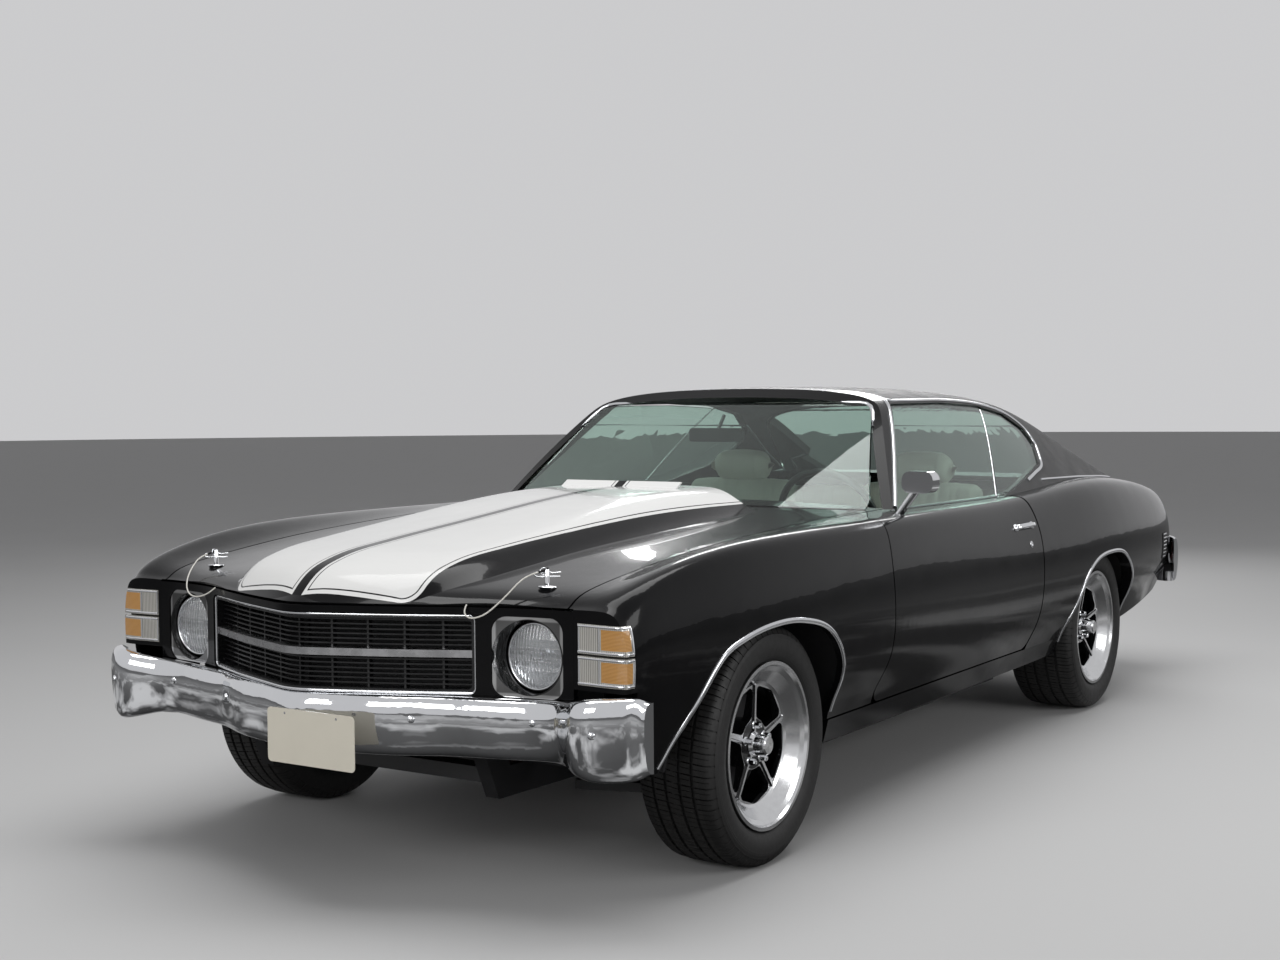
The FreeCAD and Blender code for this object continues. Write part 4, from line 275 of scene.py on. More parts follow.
vinylLooks = {
    "grainedVinyl": dict(low=(0.006, 0.006, 0.0065), high=(0.016, 0.016, 0.017), grain=420.0, sheen=0.1),
    "seatVinyl": dict(low=(0.50, 0.48, 0.42), high=(0.72, 0.70, 0.63), grain=520.0, sheen=0.15),
}


def roofVinyl(low, high, grain, sheen):
    vinyl = Finish("grainedVinyl", Sheen_Weight=sheen)
    cells = vinyl.cells(grain, feature="DISTANCE_TO_EDGE")
    wide = vinyl.noise(14.0, 3.0)
    vinyl.set(
        Base_Color=vinyl.mix(cells.ramp(0.0, 0.25), low, high),
        Roughness=wide.ramp(0.3, 0.7, 0.44, 0.56),
        Normal=vinyl.bump(cells.ramp(0.0, 0.3) + wide * 0.2, 0.5, 0.0005))
    return vinyl


def paleVinyl(low, high, grain, sheen):
    vinyl = Finish("seatVinyl", Sheen_Weight=sheen)
    cells = vinyl.cells(grain, feature="DISTANCE_TO_EDGE")
    soft = vinyl.noise(9.0, 4.0, 0.6)
    vinyl.set(
        Base_Color=vinyl.mix(soft * 0.6 + cells.ramp(0.0, 0.2) * 0.4, low, high),
        Roughness=soft.ramp(0.3, 0.7, 0.42, 0.55),
        Normal=vinyl.bump(cells.ramp(0.0, 0.3) + soft * 0.3, 0.35, 0.0004))
    return vinyl


boardLook = {"colour": (0.66, 0.64, 0.57), "pitch": 0.052, "low": 0.545, "high": 0.80}


def boardVinyl():
    # vinyl with upright sewn pleats, for the door boards
    vinyl = Finish("doorVinyl", Sheen_Weight=0.1)
    where, x, y, z = vinyl.place()
    fold = (x * (fullTurn / boardLook["pitch"])).sine().size()
    quilted = z.within(boardLook["low"], boardLook["high"])
    soft = vinyl.noise(120.0, 3.0)
    vinyl.set(
        Base_Color=vinyl.mix(soft, shade(boardLook["colour"], 0.9), boardLook["colour"]),
        Roughness=soft.ramp(0.3, 0.7, 0.42, 0.55),
        Normal=vinyl.bump((fold ** 0.5) * quilted + soft * 0.05, 0.7, 0.004))
    return vinyl


def tintedGlass(colour):
    glass = Finish("windowGlass", Transmission_Weight=1.0, IOR=1.45)
    film = glass.noise(6.0, 3.0)
    glass.set(
        Base_Color=glass.mix(film, colour, shade(colour, 1.03)),
        Roughness=film.ramp(0.3, 0.8, 0.0, 0.015))
    return glass


fluteLook = {"flutes": 620.0, "bands": 260.0, "level": 0.640, "half": 0.034}


def flutedGlass():
    # clear glass with upright flutes and level bands moulded into it
    glass = Finish("lampGlass", Transmission_Weight=0.82, IOR=1.45, Coat_Weight=0.5, Coat_Roughness=0.01)
    where, x, y, z = glass.place()
    flutes = (y * fluteLook["flutes"]).sine()
    bands = (z * fluteLook["bands"]).sine() * ((z - fluteLook["level"]).size() < fluteLook["half"])
    film = glass.noise(60.0, 3.0)
    # the tint is lighter on one side of each flute and darker on the other: painted shade and highlight of
    # the flutes
    glass.set(
        Base_Color=glass.mix(flutes.ramp(-1.0, 1.0), (0.80, 0.82, 0.83), (0.98, 0.99, 1.0)),
        Roughness=film.ramp(0.3, 0.8, 0.02, 0.05),
        Normal=glass.bump(flutes * 0.5 + bands * 1.6, 0.75, 0.0020))
    return glass


grilleLook = {
    "half": 0.4677, "bottom": 0.5463, "top": 0.7517, "edge": 0.0062,
    "barLevel": 0.650, "barRise": 0.0096, "barHalf": 0.4550,
}


def grilleFinish():
    # gloss black bars, a bright edge to the frame and a bright broad bar
    grille = Finish("grilleBlack")
    look = grilleLook
    where, x, y, z = grille.place()
    edge = (look["half"] - y.size()).least((look["top"] - z).least(z - look["bottom"])) < look["edge"]
    bar = ((z - look["barLevel"]).size() < look["barRise"]) * (y.size() < look["barHalf"])
    bright = edge.most(bar)
    dust = grille.noise(30.0, 3.0)
    dark = grille.mix(dust, (0.006, 0.006, 0.0065), (0.014, 0.014, 0.015))
    silver = grille.mix(dust, (0.42, 0.42, 0.43), (0.55, 0.55, 0.56))
    grille.set(
        Base_Color=grille.mix(bright, dark, silver), Metallic=bright,
        Roughness=dust.ramp(0.3, 0.7, 0.22, 0.34))
    return grille


bezelLook = {
    "middle": (0.605, 0.647), "half": (0.0972, 0.1012),
    "rim": (0.0075, 0.0115), "rimHighlightShares": (0.62, 0.20),
    "paintedShadowRing": (0.0860, 0.0965), "paintedShadowShare": 0.07,
}


def bezelFinish():
    # chrome with a painted highlight along the outer edge that fades to painted shade in the bowl, and a
    # darker painted shadow in a ring round the lamp
    bezel = Finish("bezelChrome", Metallic=1.0)
    where, x, y, z = bezel.place()
    (midY, midZ), (halfY, halfZ) = bezelLook["middle"], bezelLook["half"]
    aside, above = (y.size() - midY).size(), (z - midZ).size()
    paintedShadowRing = ((aside ** 2 + above ** 2) ** 0.5).within(*bezelLook["paintedShadowRing"])
    rim = (halfY - aside).least(halfZ - above).ramp(*bezelLook["rim"], *bezelLook["rimHighlightShares"])
    dust = bezel.noise(22.0, 4.0, 0.6)
    # painted light: brightest near the outer edge, shaded inward, darkest in the ring round the lamp
    bezel.set(
        Base_Color=bezel.mix(rim * (1.0 - paintedShadowRing) + paintedShadowRing * bezelLook["paintedShadowShare"], (0, 0, 0), (1, 1, 1)),
        Roughness=dust.ramp(0.2, 0.8, 0.06, 0.11))
    return bezel


# wheels: the middle of the tyre, the rim's face, half the width of tyre and rim, depth of the nuts' pad
wheelPlans = {
    "front": {"middle": 0.791, "face": 0.905, "half": 0.1225, "rimHalf": 0.1140, "pad": 0.052},
    "rear": {"middle": 0.760, "face": 0.887, "half": 0.1375, "rimHalf": 0.1270, "pad": 0.065},
}
rimLook = {
    "pocket": (0.0375, 0.1655), "pocketDepth": 0.030, "barrelDepth": 0.079,
    "windowDepth": 0.060, "windowRadius": 0.178, "pad": (0.0320, 0.0690), "padSlack": 0.0015,
    "steep": 0.60,
}


def rimFinish(end):
    # turned and polished lip and spokes, gloss black in the windows and inside the barrel
    rim = Finish(end + "RimMetal")
    plan, look = wheelPlans[end], rimLook
    where, x, y, z = rim.place()
    radius = rim.around(axles[end])
    depth = plan["face"] - y.size()
    steep = rim.facing()[1].size() < look["steep"]
    pocket = steep * radius.within(*look["pocket"]) * (depth > look["pocketDepth"])
    behind = (depth > look["windowDepth"]) * (radius < look["windowRadius"])
    inside = (depth > look["barrelDepth"]).most(behind)
    pad = radius.within(*look["pad"]) * (depth > plan["pad"] - look["padSlack"])
    black = pocket.most(inside).most(pad)
    rings = (radius * 5200.0).sine()
    uneven = rim.noise(60.0, 4.0, 0.6)
    metal = rim.mix(uneven, (0.70, 0.70, 0.71), (0.80, 0.81, 0.82))
    rim.set(
        Base_Color=rim.mix(black, metal, (0.006, 0.006, 0.0065)), Metallic=1.0 - black,
        Roughness=uneven.ramp(0.2, 0.8, 0.12, 0.22),
        Normal=rim.bump(rings * (1.0 - black) + uneven, 0.12, 0.00012))
    return rim


rubberLook = {"rings": ((0.244, 0.252), (0.290, 0.300)), "tread": 0.3325}


def rubberFinish():
    # dull rubber with faint rings on the walls and a little wear on the tread
    rubber = Finish("tyreRubber")
    where, x, y, z = rubber.place()
    front = x > 0.0
    radius = rubber.around(axles["front"]) * front + rubber.around(axles["rear"]) * (1.0 - front)
    inner, outer = [radius.within(*ring) for ring in rubberLook["rings"]]
    rings = (radius * 1100.0).sine() * inner.most(outer)
    worn = rubber.noise(55.0, 4.0, 0.65)
    fine = rubber.noise(900.0, 2.0)
    tread = radius > rubberLook["tread"]
    wall = rubber.mix(worn, (0.0075, 0.0073, 0.0072), (0.0125, 0.0122, 0.012))
    rubber.set(
        Base_Color=rubber.mix(tread * worn.ramp(0.3, 0.7, 0.2, 0.8), wall, (0.024, 0.023, 0.022)),
        Roughness=worn.ramp(0.3, 0.7, 0.52, 0.68),
        Normal=rubber.bump(rings * 0.6 + fine * 0.3, 0.5, 0.0006))
    return rubber


cornerLook = {"middle": 0.667, "apart": 0.0395, "half": 0.0250, "amberY": 0.8210, "amberX": 2.2440}


def cornerFinish():
    # clear with close upright ribs in front, amber at the outer side
    lens = Finish("cornerLens", Coat_Weight=0.6, Coat_Roughness=0.02)
    where, x, y, z = lens.place()
    level = ((z - cornerLook["middle"]).size() - cornerLook["apart"]).size()
    outside = (y.size() > cornerLook["amberY"]) * (x > cornerLook["amberX"])
    amber = outside * (level < cornerLook["half"])
    ribs = (y * 1100.0).sine()
    cross = (z * 1900.0).sine()
    # each rib is painted lighter on one side and darker on the other, in the clear part and across the amber
    # part: painted shade and highlight of the ribs
    base = lens.mix(ribs.ramp(-1.0, 1.0), (0.34, 0.33, 0.30), (0.74, 0.72, 0.67))
    side = lens.mix(cross.ramp(-1.0, 1.0), (0.42, 0.18, 0.04), (0.66, 0.36, 0.10))
    lens.set(
        Base_Color=lens.mix(amber, base, side), Roughness=lens.noise(30.0).ramp(0.3, 0.7, 0.1, 0.18),
        Metallic=amber.ramp(0.0, 1.0, 0.35, 0.0),
        Normal=lens.bump(ribs * (1.0 - amber) + cross * amber * 0.5, 0.5, 0.0012))
    return lens


def tailFinish():
    red = Finish("tailLens", Coat_Weight=1.0, Coat_Roughness=0.02)
    where, x, y, z = red.place()
    ribs, cross = [(way * 1500.0).sine() for way in (z, y)]
    # the facets are painted lighter and darker with the ribs: painted shade and highlight
    red.set(
        Base_Color=red.mix((ribs * cross).ramp(-1.0, 1.0), (0.20, 0.003, 0.003), (0.50, 0.012, 0.010)),
        Roughness=red.noise(30.0).ramp(0.3, 0.7, 0.1, 0.2), Normal=red.bump(ribs + cross, 0.4, 0.0008))
    return red


def floorFinish():
    # looped carpet on what faces up, satin paint below
    floor = Finish("floorCarpet")
    loops = floor.cells(260.0)
    pile = floor.noise(700.0, 2.0)
    carpet = floor.facing()[2] > 0.02
    floor.set(
        Base_Color=floor.mix(carpet * loops.ramp(0.0, 0.9), (0.006, 0.006, 0.0065), (0.022, 0.022, 0.023)),
        Roughness=carpet.ramp(0.0, 1.0, 0.5, 0.92),
        Normal=floor.bump(loops * carpet + pile * 0.3, 0.6, 0.0022))
    return floor


def exhaustFinish(tipX=-2.23):
    # dull steel pipes with bright tips behind tipX
    pipe = Finish("pipeSteel", Metallic=1.0)
    stain = pipe.noise(16.0, 5.0, 0.65)
    tip = pipe.place()[1] < tipX
    dull = pipe.mix(stain, (0.20, 0.17, 0.15), (0.42, 0.40, 0.38))
    pipe.set(
        Base_Color=pipe.mix(tip, dull, (0.78, 0.79, 0.80)),
        Roughness=(1.0 - tip) * stain.ramp(0.2, 0.8, 0.34, 0.52) + 0.07,
        Normal=pipe.bump(stain * (1.0 - tip), 0.2, 0.0008))
    return pipe


def cordFinish():
    # a pale plastic coat over laid wire
    coat = Finish("cordCoat", Coat_Weight=0.3)
    where, x, y, z = coat.place()
    laid = ((x + y * 1.3 - z) * 2600.0).sine()
    coat.set(
        Base_Color=coat.mix(laid.ramp(-1.0, 1.0), (0.55, 0.53, 0.48), (0.76, 0.74, 0.69)),
        Roughness=coat.noise(200.0).ramp(0.3, 0.7, 0.32, 0.44), Normal=coat.bump(laid, 0.3, 0.0003))
    return coat


chrome, brightTrim = plain["chrome"], plain["brightTrim"]
lampGlass = flutedGlass()
doorVinyl = boardVinyl()
seatVinyl = paleVinyl(**vinylLooks["seatVinyl"])
tyreRubber = rubberFinish()
cordCoat = cordFinish()
finishes = {
    blackPaint(): ("front_fenders", "header_panel", "cowl_panel", "windshield_frame", "door_left",
                   "door_right", "rockers", "quarter_panels", "rear_deck", "tail_panel"),
    stripePaint("hoodPaint", tipX=2.446, tipSlope=0.275, tailX=0.55, frontX=2.37, rearX=0.80): ("hood",),
    stripePaint("lidPaint", tipX=-1.655, tipSlope=0.0, tailX=-2.60, frontX=-1.0, rearX=-1.6): ("trunk_lid",),
    roofVinyl(**vinylLooks["grainedVinyl"]): ("roof",),
    tintedGlass((0.66, 0.80, 0.74)): ("windshield", "rear_glass", "door_glass_left", "door_glass_right"),
    lampGlass: ("headlamps",),
    cornerFinish(): ("corner_lamps",),
    bezelFinish(): ("headlamp_bezels",),
    chrome: ("front_bumper", "rear_bumper", "door_mirror"),
    rimFinish("front"): ("rim_front_left", "rim_front_right"),
    rimFinish("rear"): ("rim_rear_left", "rim_rear_right"),
    tyreRubber: ("tyre_front_left", "tyre_front_right", "tyre_rear_left", "tyre_rear_right"),
    grilleFinish(): ("grille",),
    tailFinish(): ("tail_lamps",),
    plain["chassisBlack"]: ("frame", "front_suspension", "knuckle_left", "knuckle_right", "driveline"),
    exhaustFinish(): ("exhaust",),
    plain["bareSteel"]: ("fuel_tank",),
    floorFinish(): ("floor_pan",),
    plain["innerBlack"]: ("engine_bay", "firewall"),
    plain["paintedIron"]: ("engine_block",),
    seatVinyl: ("front_seats", "rear_seat"),
    plain["dashPlastic"]: ("dashboard",),
    plain["wheelPlastic"]: ("steering_wheel", "interior_mirror"),
    plain["plateCream"]: ("number_plate",),
    cordCoat: ("hood_cord_left", "hood_cord_right"),
}
for finish, names in finishes.items():
    for name in names:
        mesh = solids[name].data
        mesh.materials.clear()
        mesh.materials.append(finish.material)
        mesh.polygons.foreach_set("material_index", [0] * len(mesh.polygons))
print("solids dressed")


# shapes
class Form:
    # gathers the corners and faces of one piece
    def __init__(self):
        self.corners = []
        self.faces = []

    def join(self, corners, faces):
        base = len(self.corners)
        self.corners += [Vector(corner) for corner in corners]
        self.faces += [tuple(base + index for index in face) for face in faces]
        return self

    def loft(self, rings, caps=True, closed=False):
        # quads between rings of equal count; each ring is a closed loop
        count = len(rings[0])
        corners = [corner for ring in rings for corner in ring]
        faces = []
        for step in range(len(rings) if closed else len(rings) - 1):
            a, b = step * count, (step + 1) % len(rings) * count
            for k in range(count):
                following = (k + 1) % count
                faces.append((a + k, a + following, b + following, b + k))
        if caps and not closed:
            faces.append(tuple(reversed(range(count))))
            faces.append(tuple(range(len(corners) - count, len(corners))))
        return self.join(corners, faces)

    def turned(self, outline, place, way, segments=32):
        # outline gives radius and height along way
        turn, middle = Vector(way).to_track_quat("Z", "Y"), Vector(place)
        rings = []
        for radius, high in outline:
            rings.append([middle + turn @ Vector((radius * math.cos(angle), radius * math.sin(angle), high))
                          for angle in angles(segments)])
        return self.loft(rings)

    def swept(self, points, ups, section, closed=False):
        # section gives sideways and upward offsets; ups is one direction or one for each point
        count = len(points)
        if isinstance(ups, Vector):
            ups = [ups] * count
        rings = []
        for k, (point, up) in enumerate(zip(points, ups)):
            if closed:
                along = points[(k + 1) % count] - points[k - 1]
            else:
                along = points[min(k + 1, count - 1)] - points[max(k - 1, 0)]
            side = along.normalized().cross(up).normalized()
            rings.append([point + side * a + up * b for a, b in section])
        return self.loft(rings, True, closed)

    def slab(self, low, high, radius, steps=4):
        # a box with rounded edges, lofted along x
        low, high = Vector(low), Vector(high)
        turns = [step * math.pi / 2 / steps for step in range(steps + 1)]
        places = [(low.x + radius * (1 - math.cos(turn)), radius * (1 - math.sin(turn))) for turn in turns]
        places += [(high.x + low.x - x, inset) for x, inset in reversed(places)]
        rings = []
        for x, inset in places:
            ring = []
            reach = max(radius - inset, 0.0004)
            for quarter, (sy, sz) in enumerate(quarters):
                cy = (high.y - inset - reach) if sy > 0 else (low.y + inset + reach)
                cz = (high.z - inset - reach) if sz > 0 else (low.z + inset + reach)
                for turn in turns:
                    angle = quarter * math.pi / 2 + turn
                    ring.append(Vector((x, cy + reach * math.cos(angle), cz + reach * math.sin(angle))))
            rings.append(ring)
        return self.loft(rings)

    def reflection(self):
        corners = [Vector((corner.x, -corner.y, corner.z)) for corner in self.corners]
        return corners, [tuple(reversed(face)) for face in self.faces]

    def mirrored(self):
        # adds the same shape on the right side
        return self.join(*self.reflection())

    def onSide(self, sense):
        # the shape itself on the left side, its reflection on the right side
        return self if sense > 0 else Form().join(*self.reflection())

    def make(self, name, finish, body, slot, replaced=(), crease=35):
        mesh = bpy.data.meshes.new(name)
        mesh.from_pydata(self.corners, [], self.faces)
        return settle(name, mesh, finish, body, replaced, crease)

    def plated(self, name, body="body_shell", crease=35, finish=chrome):
        return self.make(name, finish, body, "chrome", (), crease)


quarters = ((1, 1), (-1, 1), (-1, -1), (1, -1))


def angles(count):
    return [fullTurn * k / count for k in range(count)]


def linked(name, data):
    piece = bpy.data.objects.new(name, data)
    bpy.context.scene.collection.objects.link(piece)
    return piece


def settle(name, mesh, finish, body, replaced=(), crease=35):
    # merges doubles, turns the faces outward and hands the piece to its body
    work = bmesh.new()
    work.from_mesh(mesh)
    bmesh.ops.remove_doubles(work, verts=work.verts, dist=0.00002)
    bmesh.ops.dissolve_degenerate(work, edges=work.edges, dist=0.00001)
    bmesh.ops.recalc_face_normals(work, faces=work.faces)
    work.to_mesh(mesh)
    work.free()
    mesh.materials.clear()
    mesh.materials.append(finish.material)
    mesh.polygons.foreach_set("material_index", [0] * len(mesh.polygons))
    mesh.shade_smooth()
    mesh.set_sharp_from_angle(angle=math.radians(crease))
    piece = linked(name, mesh)
    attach(piece, body)
    if replaced:
        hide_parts(*replaced)
    return piece


def oval(width, height, count=12, base=0.0):
    # a flattened round section that rests on the surface
    return [(width / 2 * math.cos(angle), base + height * (0.5 + 0.5 * math.sin(angle)))
            for angle in angles(count)]


def skinOf(*names):
    corners, faces = [], []
    for name in names:
        mesh = solids[name].data
        base = len(corners)
        corners += [vertex.co.copy() for vertex in mesh.vertices]
        faces += [[base + index for index in face.vertices] for face in mesh.polygons]
    return BVHTree.FromPolygons(corners, faces)


def touched(skin, spot, way):
    # where a ray meets the skin, and the skin's direction there, against the ray
    hit, up = skin.ray_cast(Vector(spot), way)[:2]
    if hit is not None and up.dot(way) > 0:
        up = -up
    return hit, up


def eased(ups, weight):
    last = len(ups) - 1
    return [(ups[max(k - 1, 0)] + up * weight + ups[min(k + 1, last)]).normalized()
            for k, up in enumerate(ups)]


def landed(skin, spots, way):
    pairs = [pair for pair in [touched(skin, spot, way) for spot in spots] if pair[0] is not None]
    return [hit for hit, up in pairs], eased([up for hit, up in pairs], 2)


def smoothed(points, step=0.02, closed=False):
    # points along a curve through the given ones, about a step apart
    points = [Vector(point) for point in points]
    count = len(points)
    path = []
    for k in range(count if closed else count - 1):
        if closed:
            a, b, c, d = (points[(k + shift) % count] for shift in (-1, 0, 1, 2))
        else:
            b, c = points[k], points[k + 1]
            a = points[k - 1] if k else b * 2 - c
            d = points[k + 2] if k + 2 < count else c * 2 - b
        parts = max(1, int((c - b).length / step))
        for t in [part / parts for part in range(parts)]:
            square, cube = a * 2 - b * 5 + c * 4 - d, b * 3 - a - c * 3 + d
            path.append(0.5 * (b * 2 + (c - a) * t + square * t * t + cube * t ** 3))
    return path if closed else path + [points[-1]]


def repeatTree():
    # repeats a mesh in equal turns about the y axis
    tree = bpy.data.node_groups.new("repeatAround", "GeometryNodeTree")
    face = tree.interface
    face.new_socket("Geometry", in_out="INPUT", socket_type="NodeSocketGeometry")
    count = face.new_socket("Count", in_out="INPUT", socket_type="NodeSocketInt")
    finish = face.new_socket("Finish", in_out="INPUT", socket_type="NodeSocketMaterial")
    face.new_socket("Geometry", in_out="OUTPUT", socket_type="NodeSocketGeometry")

    def node(kind, links=None, **settings):
        made = tree.nodes.new(kind)
        for name, value in settings.items():
            setattr(made, name, value)
        for socket, source in (links or {}).items():
            if isinstance(source, (int, float, tuple)):
                made.inputs[socket].default_value = source
            else:
                tree.links.new(source, made.inputs[socket])
        return made

    given = node("NodeGroupInput")
    line = node("GeometryNodeMeshLine", {"Count": given.outputs["Count"], "Offset": (0.0, 0.0, 0.0)})
    place = node("GeometryNodeInputIndex")
    share = node("ShaderNodeMath", {0: place.outputs[0], 1: given.outputs["Count"]}, operation="DIVIDE")
    angle = node("ShaderNodeMath", {0: share.outputs[0], 1: fullTurn}, operation="MULTIPLY")
    turn = node("ShaderNodeCombineXYZ", {1: angle.outputs[0]})
    spread = node("GeometryNodeInstanceOnPoints", {
        "Points": line.outputs[0], "Instance": given.outputs["Geometry"], "Rotation": turn.outputs[0]})
    real = node("GeometryNodeRealizeInstances", {0: spread.outputs[0]})
    welded = node("GeometryNodeMergeByDistance", {"Geometry": real.outputs[0], "Distance": 0.0001})
    coloured = node("GeometryNodeSetMaterial", {
        "Geometry": welded.outputs[0], "Material": given.outputs["Finish"]})
    node("NodeGroupOutput", {0: coloured.outputs[0]})
    return tree, count.identifier, finish.identifier


repeatGroup, countKey, finishKey = repeatTree()


def repeated(name, form, count, place, finish, body, replaced=(), crease=35):
    # one share of a ring, repeated by the node group about the origin and then set at its place
    seed = bpy.data.meshes.new(name + "Share")
    seed.from_pydata(form.corners, [], form.faces)
    holder = linked(name + "Share", seed)
    change = holder.modifiers.new("repeat", "NODES")
    change.node_group = repeatGroup
    change[countKey] = count
    change[finishKey] = finish.material
    bpy.context.view_layer.update()
    ready = holder.evaluated_get(bpy.context.evaluated_depsgraph_get())
    mesh = bpy.data.meshes.new_from_object(ready)
    bpy.data.objects.remove(holder)
    mesh.transform(Matrix.Translation(place))
    return settle(name, mesh, finish, body, replaced, crease)


# tyres: ribs, wide grooves and shoulder blocks, one share of the ring repeated
tyrePlan = {
    "blocks": 66,
    "half": 0.1225,  # half the width that these rows are given for
    "treadHalf": 0.0985,
    "crown": 0.0022,
    "wide": metres(((17.0, 26.2), (56.0, 65.2))),
    "wideDepth": 0.0075,
    "wall": 0.0006,  # half the width of a wide groove's wall
    "cross": (0.045, 0.155),  # shares of a block
    "crossFrom": 0.012,
    "crossFull": 0.108,
    "crossDepth": 0.0060,
    "sipe": (0.53, 0.58),
    "sipeTo": 0.104,
    "sipeDepth": 0.0030,
    "shares": (0.0, 0.035, 0.05, 0.15, 0.165, 0.52, 0.535, 0.575, 0.59, 1.0),
    "lean": 0.42,
    "leanPower": 0.8,
    "shoulder": metres(((98.5, 2.5), (103.5, 5.8), (107.8, 10.0), (111.8, 16.2), (115.0, 23.0))),
    "side": metres((
        (118.0, 308), (118.6, 304), (120.0, 302), (121.2, 295), (122.2, 284), (122.2, 272), (120.6, 261),
        (117.4, 251.5), (116.0, 248.5), (115.0, 247), (112.0, 242), (107.0, 237))),
    "bead": metres(((-13.0, 235.2), (-14.6, 218.2))),  # from the rim's edge
}


def tyreShare(half, rimHalf):
    # half is half the section's width and rimHalf half the rim's
    plan = tyrePlan
    stretch = half / plan["half"]

    def sunk(y, share):
        y = abs(y) / stretch
        if any(low < y < high for low, high in plan["wide"]):
            return plan["wideDepth"]
        if plan["cross"][0] < share < plan["cross"][1] and y > plan["crossFrom"]:
            return plan["crossDepth"] * (1.0 if y < plan["crossFull"] else 0.5)
        if plan["sipe"][0] < share < plan["sipe"][1] and y < plan["sipeTo"]:
            return plan["sipeDepth"]
        return 0.0

    rows = [(0.0, 0.0)]
    for edge in [edge for groove in plan["wide"] for edge in groove]:
        rows += [(edge * stretch - plan["wall"], 0.0), (edge * stretch + plan["wall"], 0.0)]
    rows += [(y * stretch, drop) for y, drop in plan["shoulder"]]
    line = []
    for y, drop in rows:
        out = min(y / stretch, plan["treadHalf"]) / plan["treadHalf"]
        line.append((y, tyreRadius - plan["crown"] * out ** 2 - drop, True))
    line += [(y * stretch, radius, False) for y, radius in plan["side"]]
    line += [(rimHalf + step, radius, False) for step, radius in plan["bead"]]
    line = [(-y, radius, tread) for y, radius, tread in reversed(line[1:])] + line
    columns = []
    for share in plan["shares"]:
        column = []
        for y, radius, tread in line:
            lean = math.copysign(plan["lean"] * (abs(y) / half) ** plan["leanPower"], y)
            depth = sunk(y, share) if tread else 0.0
            angle = (share + lean) * fullTurn / plan["blocks"]
            column.append(Vector(((radius - depth) * math.sin(angle), y, (radius - depth) * math.cos(angle))))
        columns.append(column)
    return Form().loft(columns, False)


for end, plan in wheelPlans.items():
    share = tyreShare(plan["half"], plan["rimHalf"])
    for side, sense in sides:
        wheel = "%s_%s" % (end, side)
        spot = (axles[end], sense * plan["middle"], tyreRadius)
        repeated("tyreTread_" + wheel, share.onSide(sense), tyrePlan["blocks"], spot, tyreRubber,
                 "wheel_" + wheel, ("tyre_" + wheel,), 40)
print("tyres made")

nutPlan = {
    "count": 5,
    "ring": (0.0, 0.0, 0.0535),
    "nut": metres(((0, -4), (10.5, -4), (10.5, 2), (9.2, 5), (9.2, 19), (7.4, 24), (0, 25))),
    "seat": metres(((0, 0), (12.8, 0), (12.8, 3), (11, 4.5), (0, 4.5))),
}
for end, plan in wheelPlans.items():
    for side, sense in sides:
        wheel = "%s_%s" % (end, side)
        nut = Form().turned(nutPlan["nut"], nutPlan["ring"], (0, sense, 0), 6)
        nut.turned(nutPlan["seat"], nutPlan["ring"], (0, sense, 0), 20)
        spot = (axles[end], sense * (plan["face"] - plan["pad"]), tyreRadius)
        repeated("wheelNuts_" + wheel, nut, nutPlan["count"], spot, chrome, "wheel_" + wheel)
print("wheel nuts made")


# bright strips on the body
def strip(name, skin, spots, way, section, body="body_shell", both=True):
    # lies where rays from the spots meet the skin; both adds the one on the other side
    form = Form().swept(*landed(skin, spots, way), section)
    if both:
        form.mirrored()
    form.plated(name, body, 60, brightTrim)


def fromSide(line, step=0.02, reach=2.0):
    return [point + Vector((0, reach, 0)) for point in smoothed([(x, 0, z) for x, z in line], step)]


def fromEnd(line, reach):
    # line runs from the left side to the middle; its other half is added
    path = [(0, y, z) for y, z in line] + [(0, -y, z) for y, z in reversed(line[:-1])]
    return [point + Vector((reach, 0, 0)) for point in smoothed(path)]


archPlan = {
    "section": oval(0.017, 0.0095, 14, -0.004),
    "set": 0.0075,  # how far outside the opening's edge it lies
    "middleZ": 0.30,
    "reach": 1.5,
    "front": (
        (-1.24, 0.80), (-1.235, 1.0), (-1.21, 1.19), (-1.08, 1.58), (-0.77, 1.87), (-0.3, 1.99),
        (0.15, 2.005), (0.57, 1.95), (0.91, 1.83), (1.2, 1.5), (1.38, 1.14), (1.455, 0.90)),
    "rear": (
        (1.11, 0.95), (1.09, 1.19), (0.91, 1.62), (0.53, 1.86), (0.0, 1.925),
        (-0.52, 1.87), (-0.94, 1.6), (-1.1, 1.19), (-1.12, 0.95)),
}
sideSkin = skinOf("front_fenders", "quarter_panels", "rockers")
topSkin = skinOf("roof", "windshield_frame", "quarter_panels", "cowl_panel", "rear_deck", "trunk_lid")
for end, axle in axles.items():
    middle = Vector((axle, archPlan["reach"], archPlan["middleZ"]))
    line = [(axle + tyreRadius * x, tyreRadius * z) for x, z in archPlan[end]]
    spots = fromSide(line, 0.022, archPlan["reach"])
    spots = [spot + (spot - middle).normalized() * archPlan["set"] for spot in spots]
    strip(end + "ArchStrips", sideSkin, spots, inward, archPlan["section"])

shieldLine = metres((
    (731, 930), (689, 1020), (642, 1120), (600.5, 1210), (583.5, 1240.5), (567, 1259.5), (545, 1270.5),
    (515, 1274.5), (300, 1275.5), (0, 1275.5)))
strip("shieldStrip", topSkin, fromEnd(shieldLine, 2.0), rearward, oval(0.014, 0.008, 12, -0.003), both=False)

